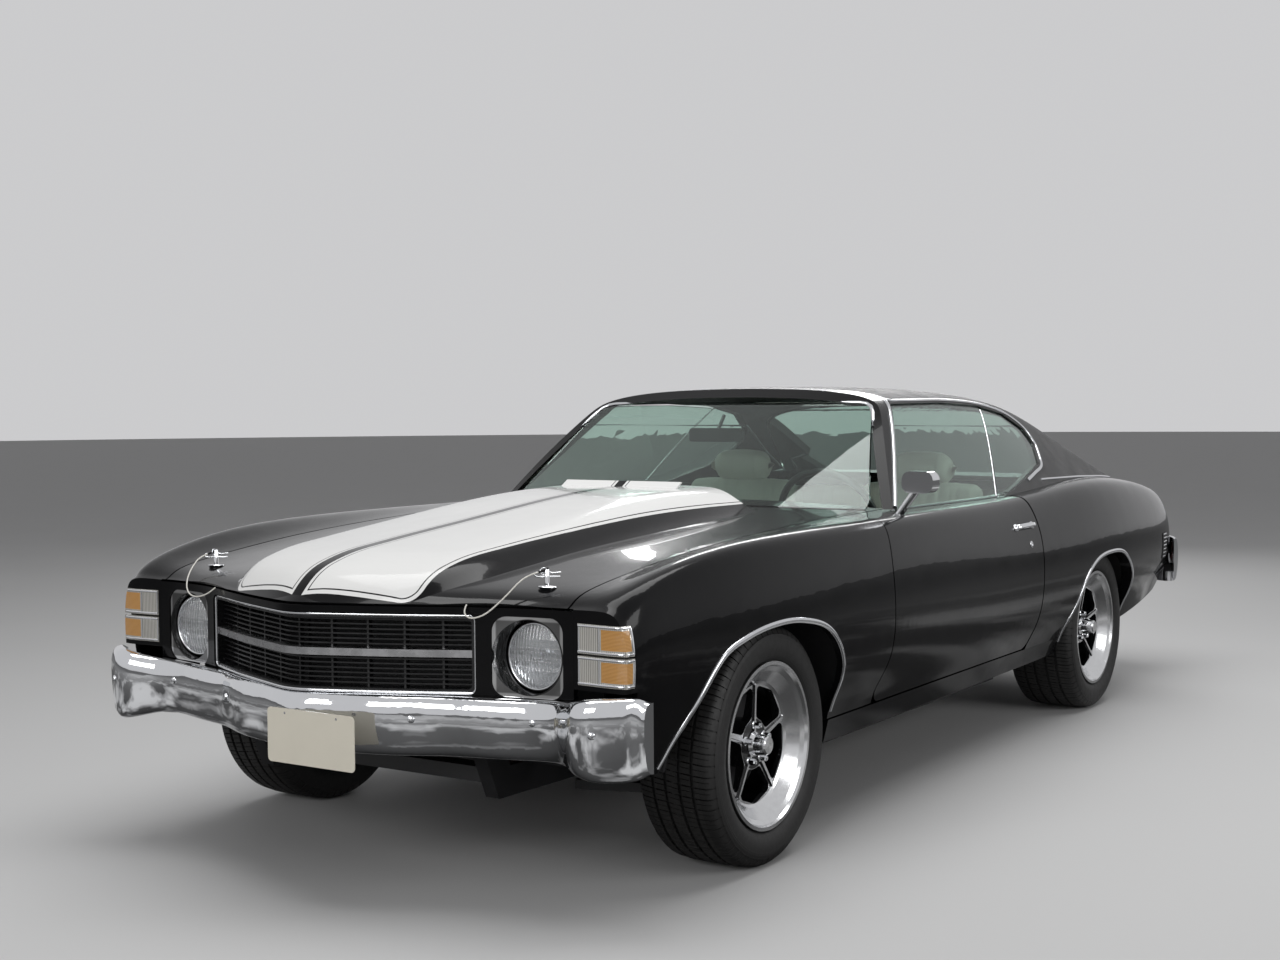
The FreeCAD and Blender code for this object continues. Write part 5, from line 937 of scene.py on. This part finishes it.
sideLine = metres((
    (503, 930), (400, 1021), (250, 1153.5), (115, 1273), (60, 1278.5), (-100, 1279.5), (-300, 1280.5),
    (-500, 1275.5), (-660, 1266.5), (-800, 1250), (-905, 1231), (-985, 1201), (-1046, 1166),
    (-1068.5, 1130), (-1069, 1095), (-1040, 1056), (-992, 1012), (-880, 988), (-765, 964)))
strip("sideWindowStrips", topSkin, fromSide(sideLine), inward, oval(0.015, 0.009, 12, -0.003))

# the bar between the door glass and the quarter window
barPlan = {"foot": (-0.3975, 2.0, 0.921), "way": (-0.904, 0, 1), "rise": 0.341, "count": 17, "ahead": 0.012}
barSkin = skinOf("door_glass_left", "rear_glass")
ahead = Vector((barPlan["ahead"], 0, 0))
rises = [barPlan["rise"] * k / (barPlan["count"] - 1) for k in range(barPlan["count"])]
spots = [Vector(barPlan["foot"]) + ahead + Vector(barPlan["way"]) * rise for rise in rises]
points, ups = landed(barSkin, spots, inward)
bars = Form().swept([point - ahead for point in points], ups, oval(0.0092, 0.010, 12, -0.008))
bars.mirrored().plated("divisionBars", crease=60, finish=brightTrim)
print("body strips made")

# headlamps: bowl, fluted lens, bulb shield and bright ring on each side
lampPlan = {
    "place": (2.2400, 0.605, 0.647),
    "radius": 0.0815,
    "dome": 0.0150,
    "wall": 0.0022,
    "flutes": (420, 0.0009),  # how close and how high
    "bands": (700, 0.0007),
    "bandHalf": 0.018,
    "rings": 14,
    "steps": 96,
    "bowl": (0.0795, 0.0165),
    "bowlFoot": 0.004,
    "bowlBack": metres(((81.5, 0.5), (81.5, -15), (4, -17.8))),
    "shield": metres(((1, 4), (15, 3), (16.5, -4), (15, -5), (1, -4.5))),
    "ring": 0.0832,
    "ringAhead": 0.0015,
}


def lampLens(plan):
    # a shallow dome, thickened by upright flutes on the inner side
    place, steps = Vector(plan["place"]), plan["steps"]
    (close, height), (bandClose, bandHeight) = plan["flutes"], plan["bands"]
    outer, inner = [], []
    for share in [ring / plan["rings"] for ring in range(plan["rings"] + 1)]:
        radius = max(plan["radius"] * share, 0.0002)
        high = plan["dome"] * (1 - share * share)
        outerRing, innerRing = [], []
        for angle in angles(steps):
            y, z = radius * math.cos(angle), radius * math.sin(angle)
            flute = height * abs(math.sin(y * close))
            if abs(z) < plan["bandHalf"]:
                flute += bandHeight * abs(math.sin(z * bandClose))
            outerRing.append(place + Vector((high, y, z)))
            innerRing.append(place + Vector((high - plan["wall"] - flute, y, z)))
        outer.append(outerRing)
        inner.append(innerRing)
    return Form().loft(outer + inner[::-1], False)


lens = lampLens(lampPlan).mirrored()
lens.make("headlampLenses", lampGlass, "body_shell", "lamp_glass", ("headlamps",), 50)
wide, deep = lampPlan["bowl"]
turns = [math.pi / 2 * k / 12 for k in range(13)]
bowl = [(max(wide * math.sin(turn), lampPlan["bowlFoot"]), 0.0005 - deep * math.cos(turn)) for turn in turns]
bowl += lampPlan["bowlBack"]
Form().turned(bowl, lampPlan["place"], forward, 64).mirrored().plated("headlampBowls")
Form().turned(lampPlan["shield"], lampPlan["place"], forward).mirrored().plated(
    "headlampShields", finish=brightTrim)
hub = Vector(lampPlan["place"])
path = [hub + Vector((lampPlan["ringAhead"], lampPlan["ring"] * math.cos(t), lampPlan["ring"] * math.sin(t)))
        for t in angles(72)]
ring = Form().swept(path, forward, oval(0.0075, 0.0075, 12, -0.003), True)
ring.mirrored().plated("headlampRings", crease=60, finish=brightTrim)
print("headlamps made")

# bright frames round the corner lamps
cornerPlan = {
    "inner": 0.7505,
    "outer": 0.880,
    "division": 0.8150,
    "rear": 2.2390,
    "front": 2.2585,
    "behind": 2.22,  # what lies further back isn't the lamp
    "edge": 0.003,
    "levels": metres(((592.5, 661.0), (671.0, 740.5))),
}
cornerSkin = skinOf("corner_lamps", "front_fenders", "header_panel")


def levelLoop(plan, level):
    # points on the lamp at one height, from the grille side round to the wheel side
    inner, front = plan["inner"], plan["front"]
    spots = [((2.5, inner + (plan["outer"] - inner) * k / 14, level), rearward) for k in range(15)]
    spots += [((front + (plan["rear"] - front) * k / 7, 1.2, level), inward) for k in range(8)]
    hits = [touched(cornerSkin, spot, way) for spot, way in spots]
    hits = [(hit, up) for hit, up in hits if hit is not None and hit.x > plan["behind"]]
    flat = [Vector((up.x, up.y, 0)).normalized() for hit, up in hits]
    return [hit for hit, up in hits], eased(flat, 1)


def upright(levels, x, y, way):
    # the places on the lamp above each other
    hits = [touched(cornerSkin, (x, y, level), way) for level in levels]
    hits = [(hit, up) for hit, up in hits if hit is not None]
    return [hit for hit, up in hits], [Vector((up.x, up.y, 0)).normalized() for hit, up in hits]


frames = Form()
for low, high in cornerPlan["levels"]:
    low, high = low + cornerPlan["edge"], high - cornerPlan["edge"]
    for level in (low, high):
        frames.swept(*levelLoop(cornerPlan, level), oval(0.0062, 0.0050, 8, -0.0015))
    levels = [low + (high - low) * k / 5 for k in range(6)]
    for y in (cornerPlan["inner"] + 0.002, cornerPlan["division"]):
        frames.swept(*upright(levels, 2.5, y, rearward), oval(0.0052, 0.0045, 8, -0.0015))
    frames.swept(*upright(levels, cornerPlan["rear"], 1.2, inward), oval(0.0060, 0.0045, 8, -0.0015))
frames.mirrored().plated("cornerLampFrames", crease=60)
print("corner lamps framed")

# bolts on both bumpers, and those of the plate
boltPlan = {
    "head": metres(((0, -4), (9.8, -4), (9.8, 0), (7.8, 3.4), (4, 5), (0, 5.5))),
    "front_bumper": metres(((330, 487), (640, 492), (845, 487))),
    "rear_bumper": metres(((320, 600), (470, 470), (845, 600))),
    "plateHead": metres(((0, -2), (6.2, -2), (6.2, 0.6), (4.8, 2.4), (0, 2.8))),
    "plate": metres(((2508.5, -1, 490), (2508.5, 177, 490))),
}
bolts = Form()
for bumper, far, way in (("front_bumper", 3.0, rearward), ("rear_bumper", -3.0, forward)):
    skin = skinOf(bumper)
    for y, z in boltPlan[bumper]:
        bolts.turned(boltPlan["head"], *touched(skin, (far, y, z), way), 20)
bolts.mirrored().plated("bumperBolts")
plateBolts = Form()
for place in boltPlan["plate"]:
    plateBolts.turned(boltPlan["plateHead"], place, forward, 18)
plateBolts.plated("plateBolts", finish=brightTrim)
print("bolts made")

# rings round the tail lamps, and a cap in the middle of each
tailPlan = {
    "middles": (0.600, 0.750),
    "level": 0.540,
    "radius": 0.0575,
    "from": -3.0,
    "cap": metres(((0, -2), (13.5, -2), (13.5, 1.2), (11, 2.6), (0, 3))),
}
tailSkin = skinOf("rear_bumper", "tail_lamps")
rings = Form()
for middle in tailPlan["middles"]:
    radius, level, far = tailPlan["radius"], tailPlan["level"], tailPlan["from"]
    spots = [(far, middle + radius * math.cos(angle), level + radius * math.sin(angle))
             for angle in angles(56)]
    points = [touched(tailSkin, spot, forward)[0] for spot in spots]
    rings.swept(points, rearward, oval(0.0085, 0.0060, 10, -0.0030), True)
    rings.turned(tailPlan["cap"], touched(tailSkin, (far, middle, level), forward)[0], rearward, 28)
rings.mirrored().plated("tailLampRings", crease=60)
print("tail lamps ringed")

# hood pins: a stud with its washer and a hairpin through it; lanyards from the eyes to the front edge
pinPlan = {
    "place": (2.179, 0.596),
    "levels": {"left": 0.843, "right": 0.841},
    "clip": (
        (36, 1.1), (14, 0.75), (0, 1.35), (-16, 0.85), (-26, 0.9), (-33, 0), (-26, -0.9), (0, -0.75),
        (34, -0.75)),  # millimetres along the clip, and shares of its height
    "clipWay": (-0.45, 0.89, 0.0),
    "clipRise": 0.006,
    "clipLift": 0.0045,
    "stud": metres(((0, 0), (6.4, 0), (6.4, 44), (5, 46.5), (0, 46.8))),
    "studFoot": 0.8160,
    "washer": metres(((5.6, 0.5), (22.5, 0.5), (24, 2.8), (22.5, 4.6), (12, 6.2), (5.6, 6.8))),
    "washerFoot": 0.8130,
    "eye": (0.0115, -0.002, 0.014),
    "eyeSize": (0.0085, -0.0045, 0.0085),
}
pins = Form()
for side, sense in sides:
    x, y = pinPlan["place"]
    y *= sense
    stud = Vector((x, y, pinPlan["levels"][side]))
    aim, rise = Vector(pinPlan["clipWay"]), upward * pinPlan["clipRise"]
    middle = stud + upward * pinPlan["clipLift"]
    path = smoothed([middle + aim * (out / 1000) + rise * lift for out, lift in pinPlan["clip"]], 0.003)
    pins.swept(path, aim.cross(rise).normalized(), oval(0.0036, 0.0036, 8, -0.0018))
    pins.turned(pinPlan["stud"], (x, y, pinPlan["studFoot"]), upward, 20)
    pins.turned(pinPlan["washer"], (x, y, pinPlan["washerFoot"]), (-0.055, sense * 0.035, 1.0))
    (ax, ay, az), (bx, by, bz) = pinPlan["eye"], pinPlan["eyeSize"]
    eye = stud + Vector((ax, ay * sense, az))
    loop = [eye + Vector((bx * math.cos(t), by * sense * math.cos(t), bz * math.sin(t))) for t in angles(24)]
    pins.swept(loop, Vector((0.4, sense * 0.9, 0.0)).normalized(), oval(0.0024, 0.0024, 8, -0.0012), True)
pins.plated("hoodPinClips", "hood", 60)

cordPlan = {
    "diameter": 0.004,
    "lengths": {"left": 0.2715, "right": 0.3033},
    "left": (
        (2202.5, 586.1, 854.8), (2225.9, 576.2, 849.6), (2254, 564, 834), (2284, 552, 806), (2310, 536, 780),
        (2327, 517, 759), (2338, 495, 748), (2343, 475, 746), (2341, 459, 753), (2334, 451, 765),
        (2323, 450, 777)),
    "right": (
        (2202, -605.2, 850.1), (2225.1, -614.3, 842.3), (2252, -612, 820), (2282, -600, 796),
        (2307, -581, 772), (2323, -558, 754), (2332, -532, 745), (2335, -505, 744), (2336, -479, 750),
        (2335, -456, 760), (2333, -437, 773)),
}
for side, sense in sides:
    route = metres(cordPlan[side])
    line = bpy.data.curves.new("lanyard_" + side, "CURVE")
    line.dimensions = "3D"
    spline = line.splines.new("NURBS")
    spline.points.add(len(route) - 1)
    for point, place in zip(spline.points, route):
        point.co = (*place, 1.0)
    spline.order_u = 3
    spline.use_endpoint_u = True
    line.resolution_u = 10
    line.bevel_depth = cordPlan["diameter"] / 2
    line.bevel_resolution = 3
    line.use_fill_caps = True
    line.materials.append(cordCoat.material)
    lanyard = linked("lanyard_" + side, line)
    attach(lanyard, "hood")
    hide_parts("hood_cord_" + side)
print("hood pins and lanyards made")

# bright edge round the grille
edgePlan = {"level": 0.649, "halfWide": 0.4635, "halfHigh": 0.0985, "corner": 0.012, "least": 2.2585}


def roundedLoop(plan, turns=6, step=0.02):
    # a rounded rectangle seen from the front, with points at most a step apart
    wide, high, corner = plan["halfWide"], plan["halfHigh"], plan["corner"]
    loop = []
    for quarter, (sy, sz) in enumerate(quarters):
        for angle in [(quarter + turn / turns) * math.pi / 2 for turn in range(turns + 1)]:
            y = sy * (wide - corner) + corner * math.cos(angle)
            z = plan["level"] + sz * (high - corner) + corner * math.sin(angle)
            loop.append(Vector((0, y, z)))
    path = []
    for k, point in enumerate(loop):
        following = loop[(k + 1) % len(loop)]
        parts = max(1, int((following - point).length / step))
        path += [point.lerp(following, part / parts) for part in range(parts)]
    return path


noseSkin = skinOf("grille", "header_panel")
points = landed(noseSkin, [point + Vector((3.0, 0, 0)) for point in roundedLoop(edgePlan)], rearward)[0]
points = [Vector((max(point.x, edgePlan["least"]), point.y, point.z)) for point in points]
edge = Form().swept(points, forward, oval(0.0075, 0.0065, 10, -0.003), True)
edge.plated("grilleEdge", crease=60, finish=brightTrim)

# strips at the belt, at the vinyl's lower edge and round the rear glass
beltPlan = {"front": 0.478, "length": 0.980, "y": 0.7735, "above": 1.5, "parts": 40}
for side, sense in sides:
    spots = [(beltPlan["front"] - beltPlan["length"] * k / beltPlan["parts"], sense * beltPlan["y"],
              beltPlan["above"]) for k in range(beltPlan["parts"] + 1)]
    strip("beltStrip_" + side, skinOf("door_" + side), spots, downward, oval(0.0090, 0.0060, 10, -0.002),
          "door_" + side, both=False)
vinylLine = metres((
    (-915, 961.5), (-990, 961), (-1200, 957.5), (-1400, 953.5), (-1600, 946.5), (-1760, 940), (-1880, 932),
    (-1950, 925.5)))
strip("vinylBaseStrips", topSkin, fromSide(vinylLine, 0.03), inward, oval(0.0100, 0.0060, 10, -0.003))
glassLine = metres((
    (-662, 935), (-640, 1010), (-612, 1110), (-586, 1190), (-560, 1222), (-520, 1236), (-300, 1240),
    (0, 1241)))
strip("rearGlassStrip", skinOf("rear_glass", "roof"), fromEnd(glassLine, -4.0), forward,
      oval(0.0140, 0.0070, 12, -0.003), both=False)
print("edges trimmed")

# door handles, locks and the trunk's lock
lockOutline = metres(((0, -3), (12.5, -3), (12.5, 1.2), (10.5, 2.6), (6, 3), (5.5, 1.8), (0, 1.8)))
handlePlan = {
    "ends": (-0.292, -0.452),
    "level": 0.812,
    "foot": metres(((0, -3), (15.5, -3), (15.5, 2), (12, 6), (0, 7.5))),
    "rise": (0.004, 0.0185),  # of the bar over its feet, and more in the middle
    "bow": 0.45,
    "parts": 28,
    "button": metres(((0, -2), (8, -2), (8, 0.8), (6.5, 2.2), (0, 2.6))),
    "buttonShare": 0.86,
    "buttonRise": 0.0215,
    "lock": (-0.408, 0.745),
    "from": 2.0,  # how far out the rays start
}
for side, sense in sides:
    skin, way, far = skinOf("door_" + side), inward * sense, sense * handlePlan["from"]
    spots = [(x, far, handlePlan["level"]) for x in handlePlan["ends"]]
    (front, up), (back, other) = [touched(skin, spot, way) for spot in spots]
    handle = Form().turned(handlePlan["foot"], front, up, 24).turned(handlePlan["foot"], back, other, 24)
    low, more = handlePlan["rise"]
    path = []
    for share in [k / handlePlan["parts"] for k in range(handlePlan["parts"] + 1)]:
        rise = low + more * math.sin(math.pi * share) ** handlePlan["bow"]
        path.append(front.lerp(back, share) + up * rise)
    handle.swept(path, up, oval(0.0190, 0.0085, 12, -0.003))
    button = front.lerp(back, handlePlan["buttonShare"]) + up * handlePlan["buttonRise"]
    handle.turned(handlePlan["button"], button, up, 20)
    x, z = handlePlan["lock"]
    handle.turned(lockOutline, *touched(skin, (x, far, z), way), 24)
    handle.plated("doorHandle_" + side, "door_" + side, 50)
hit = touched(skinOf("tail_panel", "rear_bumper"), (-4.0, 0.0, 0.735), forward)[0]
Form().turned(lockOutline, hit, rearward, 24).plated("trunkLock", crease=50)
print("handles made")

# slatted side markers behind the rear wheels: a dark field with short bright bars
markers = {"middle": -2.172, "half": 0.044, "low": 0.552, "tall": 0.116, "slats": 7, "inset": 0.008}
markerSkin = skinOf("quarter_panels")
field, slats = Form(), Form()
half, reach = markers["half"], markers["half"] - markers["inset"]
spots = [(markers["middle"], 2.0, markers["low"] + markers["tall"] * k / 12) for k in range(13)]
section = [(-half, -0.004), (half, -0.004), (half, 0.0016), (half - 0.002, 0.0026), (0.002 - half, 0.0026),
           (-half, 0.0016)]
field.swept(*landed(markerSkin, spots, inward), section)
for k in range(markers["slats"]):
    level = markers["low"] + markers["tall"] * (k + 0.5) / markers["slats"]
    spots = [(markers["middle"] + reach * (1 - step / 4), 2.0, level) for step in range(9)]
    slats.swept(*landed(markerSkin, spots, inward), oval(0.0075, 0.0042, 10, 0.0010))
field.mirrored().make("markerFields", plain["softBlack"], "body_shell", "grille_black")
slats.mirrored().plated("markerSlats", crease=60, finish=brightTrim)

# mirror glasses
mirrorPlan = {
    "door": metres(((583.8, 888, 991.5), (585.8, 975.5, 1049))),
    "inside": metres(((-106, 1136.5), (106, 1177.5))),
    "insideDepth": metres((-1.2, 0.4)),
}
glass = Form().slab(*mirrorPlan["door"], 0.0009, 2)
glass.make("doorMirrorGlass", plain["mirrorFace"], "door_left", "glass")
hit = touched(skinOf("interior_mirror"), (0.0, 0.060, 1.157), forward)[0]
corners = [(hit.x + deep, *corner) for deep, corner in zip(mirrorPlan["insideDepth"], mirrorPlan["inside"])]
Form().slab(*corners, 0.0007, 2).make("insideMirrorGlass", plain["mirrorFace"], "body_shell", "glass")
print("mirrors made")

# seats: crowned cushions with rounded ends, sewn seams and pleats
seatPlans = {
    "front": {
        "ends": (0.1545, 0.6535), "round": 0.040, "crown": 0.010, "pitch": 0.046, "insert": 0.162,
        "seam": 0.005, "stations": 84},
    "head": {
        "ends": (0.266, 0.542), "round": 0.062, "crown": 0.016, "pitch": 1.0, "insert": 0.098,
        "seam": 0.003, "stations": 48},
    "rear": {
        "ends": (-0.569, 0.569), "round": 0.040, "crown": 0.010, "pitch": 0.052, "insert": 0.470,
        "seam": 0.005, "stations": 150},
}
sewing = {
    "step": 0.012,
    "straight": 0.65,  # how evenly the stations lie from end to end
    "endShare": 0.98,
    "crownPower": 2.2,
    "pleatFrom": 0.55,
    "pleatSpan": 0.25,
    "pleatDepth": 0.0060,
    "pleatPower": 0.6,
    "seamWidth": 0.008,
}
cushions = {
    # name: kind of seat, way that its pleats face, filling, outline in x and z
    "frontSeatBases": ("front", (0.05, 0, 1), 0.8, (
        (-520, 335), (-300, 332), (-50, 332), (58, 336), (73, 395), (72, 450), (35, 492), (-100, 490),
        (-250, 478), (-370, 470), (-425, 470), (-500, 440), (-528, 390))),
    "frontSeatBacks": ("front", (1, 0, 0.30), 0.8, (
        (-553, 452), (-480, 445), (-425, 485), (-432, 530), (-470, 660), (-510, 800), (-545, 915),
        (-570, 950), (-602, 959), (-636, 946), (-650, 915), (-628, 790), (-600, 650), (-575, 540))),
    "headRests": ("head", (1, 0, 0.30), 0.9, (
        (-582, 945), (-548, 985), (-545, 1030), (-560, 1064), (-600, 1077), (-636, 1062), (-648, 1025),
        (-645, 975), (-625, 945))),
    "rearSeatBase": ("rear", (0.05, 0, 1), 0.8, (
        (-832, 492), (-818, 520), (-818, 562), (-848, 600), (-950, 594), (-1060, 580), (-1150, 570),
        (-1190, 545), (-1190, 495), (-1000, 492))),
    "rearSeatBack": ("rear", (1, 0, 0.30), 0.8, (
        (-1337, 500), (-1200, 500), (-1140, 560), (-1178, 600), (-1220, 740), (-1258, 868), (-1278, 892),
        (-1305, 900), (-1332, 886), (-1338, 850), (-1338, 700))),
}


def cushion(plan, pleated, outline):
    path = smoothed([(x, 0, z) for x, z in outline], sewing["step"], True)
    count = len(path)
    area = 0.0
    for k, point in enumerate(path):
        following = path[(k + 1) % count]
        area += point.x * following.z - following.x * point.z
    outward = []
    for k in range(count):
        along = (path[(k + 2) % count] - path[k - 2]).normalized()
        outward.append(Vector((along.z, 0, -along.x)) * math.copysign(1, area))
    low, high = plan["ends"]
    middle, half = (low + high) / 2, (high - low) / 2
    rings = []
    for station in [step / plan["stations"] for step in range(plan["stations"] + 1)]:
        even = sewing["straight"]
        share = math.sin((station - 0.5) * math.pi) * (1 - even) + (station * 2 - 1) * even
        across = abs(half * share)
        edge = max(0.0, (across - (half - plan["round"])) / plan["round"])
        inset = plan["round"] * (1 - math.sqrt(max(0.0, 1 - edge * edge))) * sewing["endShare"]
        inset += plan["crown"] * abs(share) ** sewing["crownPower"]
        sewn = 0.0
        if edge == 0:
            gap = (across - plan["insert"]) / sewing["seamWidth"]
            sewn = plan["seam"] * math.exp(-gap * gap)
            if across < plan["insert"]:
                fold = abs(math.sin(math.pi * half * share / plan["pitch"])) ** sewing["pleatPower"]
                sewn += sewing["pleatDepth"] * (1 - fold)
        ring = []
        for point, out in zip(path, outward):
            weight = max(0.0, min(1.0, (out.dot(pleated) - sewing["pleatFrom"]) / sewing["pleatSpan"]))
            ring.append(point + Vector((0, middle + half * share, 0)) - out * (inset + weight * sewn))
        rings.append(ring)
    return Form().loft(rings)


for name, (kind, way, fill, outline) in cushions.items():
    form = cushion(seatPlans[kind], Vector(way).normalized(), metres(outline))
    replaced = "rear_seat" if kind == "rear" else "front_seats"
    if kind != "rear":
        form.mirrored()
    form.make(name, seatVinyl, "body_shell", "seat_vinyl", (replaced,), 70)
postPlan = {
    "feet": metres(((-600, 354, 925), (-600, 454, 925))),
    "outline": metres(((0, 0), (5.5, 0), (5.5, 40), (0, 40))),
}
posts = Form()
for foot in postPlan["feet"]:
    posts.turned(postPlan["outline"], foot, upward, 12)
posts.mirrored().plated("headRestPosts")
print("seats made")

# door boards with arm rests, winders and release levers
boardPlan = {
    "board": metres(((-495, 733.5, 370), (795, 744.6, 890))),
    "rest": metres(((-330, 690, 592), (230, 736, 655))),
    "winderHub": metres(((0, 0), (18, 0), (17, 8), (0, 10))),
    "winderPlace": metres((345, 734.5, 640)),
    "winderArm": metres(((345, 726, 640), (380, 721, 618), (432, 719, 590))),
    "knob": metres(((0, 0), (11, 0), (13, 12), (10, 23), (0, 25))),
    "leverHub": metres(((0, 0), (15, 0), (14, 6), (0, 8))),
    "leverPlace": metres((500, 734.5, 760)),
    "lever": metres(((500, 728, 760), (455, 724, 757), (410, 722, 752))),
}
for side, sense in sides:
    board = Form().slab(*boardPlan["board"], 0.0050, 3).slab(*boardPlan["rest"], 0.0180, 5)
    winder = Form().turned(boardPlan["winderHub"], boardPlan["winderPlace"], inward, 24)
    arm, lever = [[Vector(place) for place in boardPlan[name]] for name in ("winderArm", "lever")]
    winder.swept(arm, inward, oval(0.0130, 0.0050, 10))
    winder.turned(boardPlan["knob"], arm[-1], inward, 20)
    winder.turned(boardPlan["leverHub"], boardPlan["leverPlace"], inward, 24)
    winder.swept(lever, inward, oval(0.0160, 0.0050, 10))
    board.onSide(sense).make("doorBoard_" + side, doorVinyl, "door_" + side, "seat_vinyl")
    winder.onSide(sense).plated("doorWinder_" + side, "door_" + side, 50)
print("door boards made")

# gauges, knobs and the steering wheel's boss
gaugePlan = {
    # y, radius and count of marks
    "places": ((0.470, 0.050, 20), (0.300, 0.050, 20), (0.385, 0.026, 9), (0.215, 0.026, 9)),
    "level": 0.795,
    "ring": metres(((-4, -2), (0, -2), (0, 4), (-2, 5.5), (-4, 4))),  # from the radius
    "face": 0.0042,
    "marks": (0.0125, 0.0065),  # from the radius
    "sweep": 140,
    "needle": (0.010, -0.014),
}
dashSkin = skinOf("dashboard")
gaugeRings, gaugeFaces, gaugeMarks = Form(), Form(), Form()
for y, radius, marks in gaugePlan["places"]:
    hit, up = touched(dashSkin, (0.0, y, gaugePlan["level"]), forward)
    inside = radius - gaugePlan["face"]
    gaugeRings.turned([(radius + step, high) for step, high in gaugePlan["ring"]], hit, up, 40)
    gaugeFaces.turned([(0.0, -0.002), (inside, -0.002), (inside, 0.0008), (0.0, 0.0008)], hit, up, 40)
    turn = up.to_track_quat("Z", "Y")
    for k in range(marks):
        angle = math.radians(gaugePlan["sweep"] * (2 * k / (marks - 1) - 1))
        ends = [Vector(((radius - far) * math.sin(angle), (radius - far) * math.cos(angle), 0.0008))
                for far in gaugePlan["marks"]]
        gaugeMarks.swept([hit + turn @ end for end in ends], up, oval(0.0011 if k % 2 else 0.0018, 0.0006, 6))
    aside, short = gaugePlan["needle"]
    ends = (Vector((0, -0.006, 0.0012)), Vector((aside, radius + short, 0.0012)))
    gaugeMarks.swept([hit + turn @ end for end in ends], up, oval(0.0018, 0.0008, 6))
gaugeRings.plated("gaugeRings", crease=50)
gaugeFaces.make("gaugeFaces", plain["softBlack"], "body_shell", "dash_plastic")
gaugeMarks.make("gaugeMarks", plain["plateCream"], "body_shell", "dash_plastic")

knobPlan = {
    "places": metres(((75, 800), (-75, 800), (45, 755), (-45, 755), (-420, 790))),
    "outline": metres(((0, -2), (11, -2), (10, 13), (8, 15), (0, 15.5))),
}
knobs = Form()
for y, z in knobPlan["places"]:
    knobs.turned(knobPlan["outline"], *touched(dashSkin, (0.0, y, z), forward), 24)
knobs.plated("dashKnobs", crease=50)

bossPlan = {
    "hub": (0.140, 0.370, 0.850),
    "tilt": 22,
    "lift": 0.002,
    "outline": metres(((0, 0), (30, 0), (33, 4), (30, 9), (20, 12.5), (0, 14))),
}
tilt = math.radians(bossPlan["tilt"])
axis = Vector((-math.cos(tilt), 0, math.sin(tilt)))
boss = Form().turned(bossPlan["outline"], Vector(bossPlan["hub"]) + axis * bossPlan["lift"], axis, 36)
boss.plated("wheelBoss", "steering_wheel", 60)
print("dash dressed")

# floor, backdrop and lamps
stagePlan = {
    "floor": (0.54, 0.54, 0.54),
    "radius": 60,
    "darkShare": 0.10,  # painted reflection: the floor as chrome and paint mirror it is painted dark with brighter patches
    "brightShare": 1.10,
    "farShare": 0.60,
    "paintedGleams": (3.5, 6.5),  # from here on the painted bright patches fade
    "backdrop": (0.60, 0.60, 0.61),
    "fill": 0.30,
    "lamps": {
        # place, target, size, power
        "lampTop": ((0.5, 0.5, 6.0), (0, 0, 0), (7.0, 3.0), 300),
        "lampFront": ((8.5, 1.0, 3.2), (1.5, 0, 0.6), (4.0, 2.2), 170),
        "lampLeft": ((1.0, 8.5, 3.4), (0, 0, 0.6), (6.5, 2.0), 200),
        "lampRear": ((-7.0, -3.0, 3.5), (0, 0, 0.6), (4.0, 2.0), 120),
    },
}


def makeBackdrop():
    # what is seen straight, mirrored or through glass is bright, and what lights the car is dimmer
    world = bpy.data.worlds.new("studio")
    bpy.context.scene.world = world
    world.use_nodes = True
    tree = world.node_tree
    back = tree.nodes["Background"]
    path = tree.nodes.new("ShaderNodeLightPath")
    seen = path.outputs["Is Camera Ray"]
    for kind in ("Is Glossy Ray", "Is Transmission Ray"):
        either = tree.nodes.new("ShaderNodeMath")
        either.operation = "MAXIMUM"
        tree.links.new(seen, either.inputs[0])
        tree.links.new(path.outputs[kind], either.inputs[1])
        seen = either.outputs[0]
    level = tree.nodes.new("ShaderNodeMapRange")
    tree.links.new(seen, level.inputs[0])
    level.inputs[3].default_value = stagePlan["fill"]
    level.inputs[4].default_value = 1.0
    back.inputs["Color"].default_value = (*stagePlan["backdrop"], 1)
    tree.links.new(level.outputs[0], back.inputs["Strength"])


def makeFloor():
    circle = bmesh.new()
    bmesh.ops.create_circle(circle, cap_ends=True, radius=stagePlan["radius"], segments=96)
    mesh = bpy.data.meshes.new("floor")
    circle.to_mesh(mesh)
    circle.free()
    paving = Finish("floorPale", Specular_IOR_Level=0.15)
    tone = stagePlan["floor"]
    grain = paving.noise(1.5, 4.0)
    direct = paving.mix(grain, shade(tone, 0.985), tone)
    # painted reflection: glossy rays see the floor painted dark with bright patches near the car and greyer
    # further out, so paint and chrome mirror painted streaks of light
    paintedGleams = paving.noise(0.9, 3.0).ramp(0.48, 0.62)
    paintedNearReflection = paving.mix(paintedGleams, shade(tone, stagePlan["darkShare"]), shade(tone, stagePlan["brightShare"]))
    where, x, y, z = paving.place()
    away = ((x ** 2 + y ** 2) ** 0.5).ramp(*stagePlan["paintedGleams"])
    mirrored = paving.mix(away, paintedNearReflection, shade(tone, stagePlan["farShare"]))
    glossy = paving.add("ShaderNodeLightPath")[3]
    paving.set(Base_Color=paving.mix(glossy, direct, mirrored), Roughness=grain.ramp(0.3, 0.7, 0.60, 0.66))
    mesh.materials.append(paving.material)
    linked("floor", mesh)


makeBackdrop()
makeFloor()
for name, (place, target, size, power) in stagePlan["lamps"].items():
    light = bpy.data.lights.new(name, "AREA")
    light.shape = "RECTANGLE"
    light.size, light.size_y = size
    light.energy = power
    holder = linked(name, light)
    holder.location = place
    holder.rotation_euler = (Vector(target) - Vector(place)).to_track_quat("-Z", "Y").to_euler()
print("stage made")
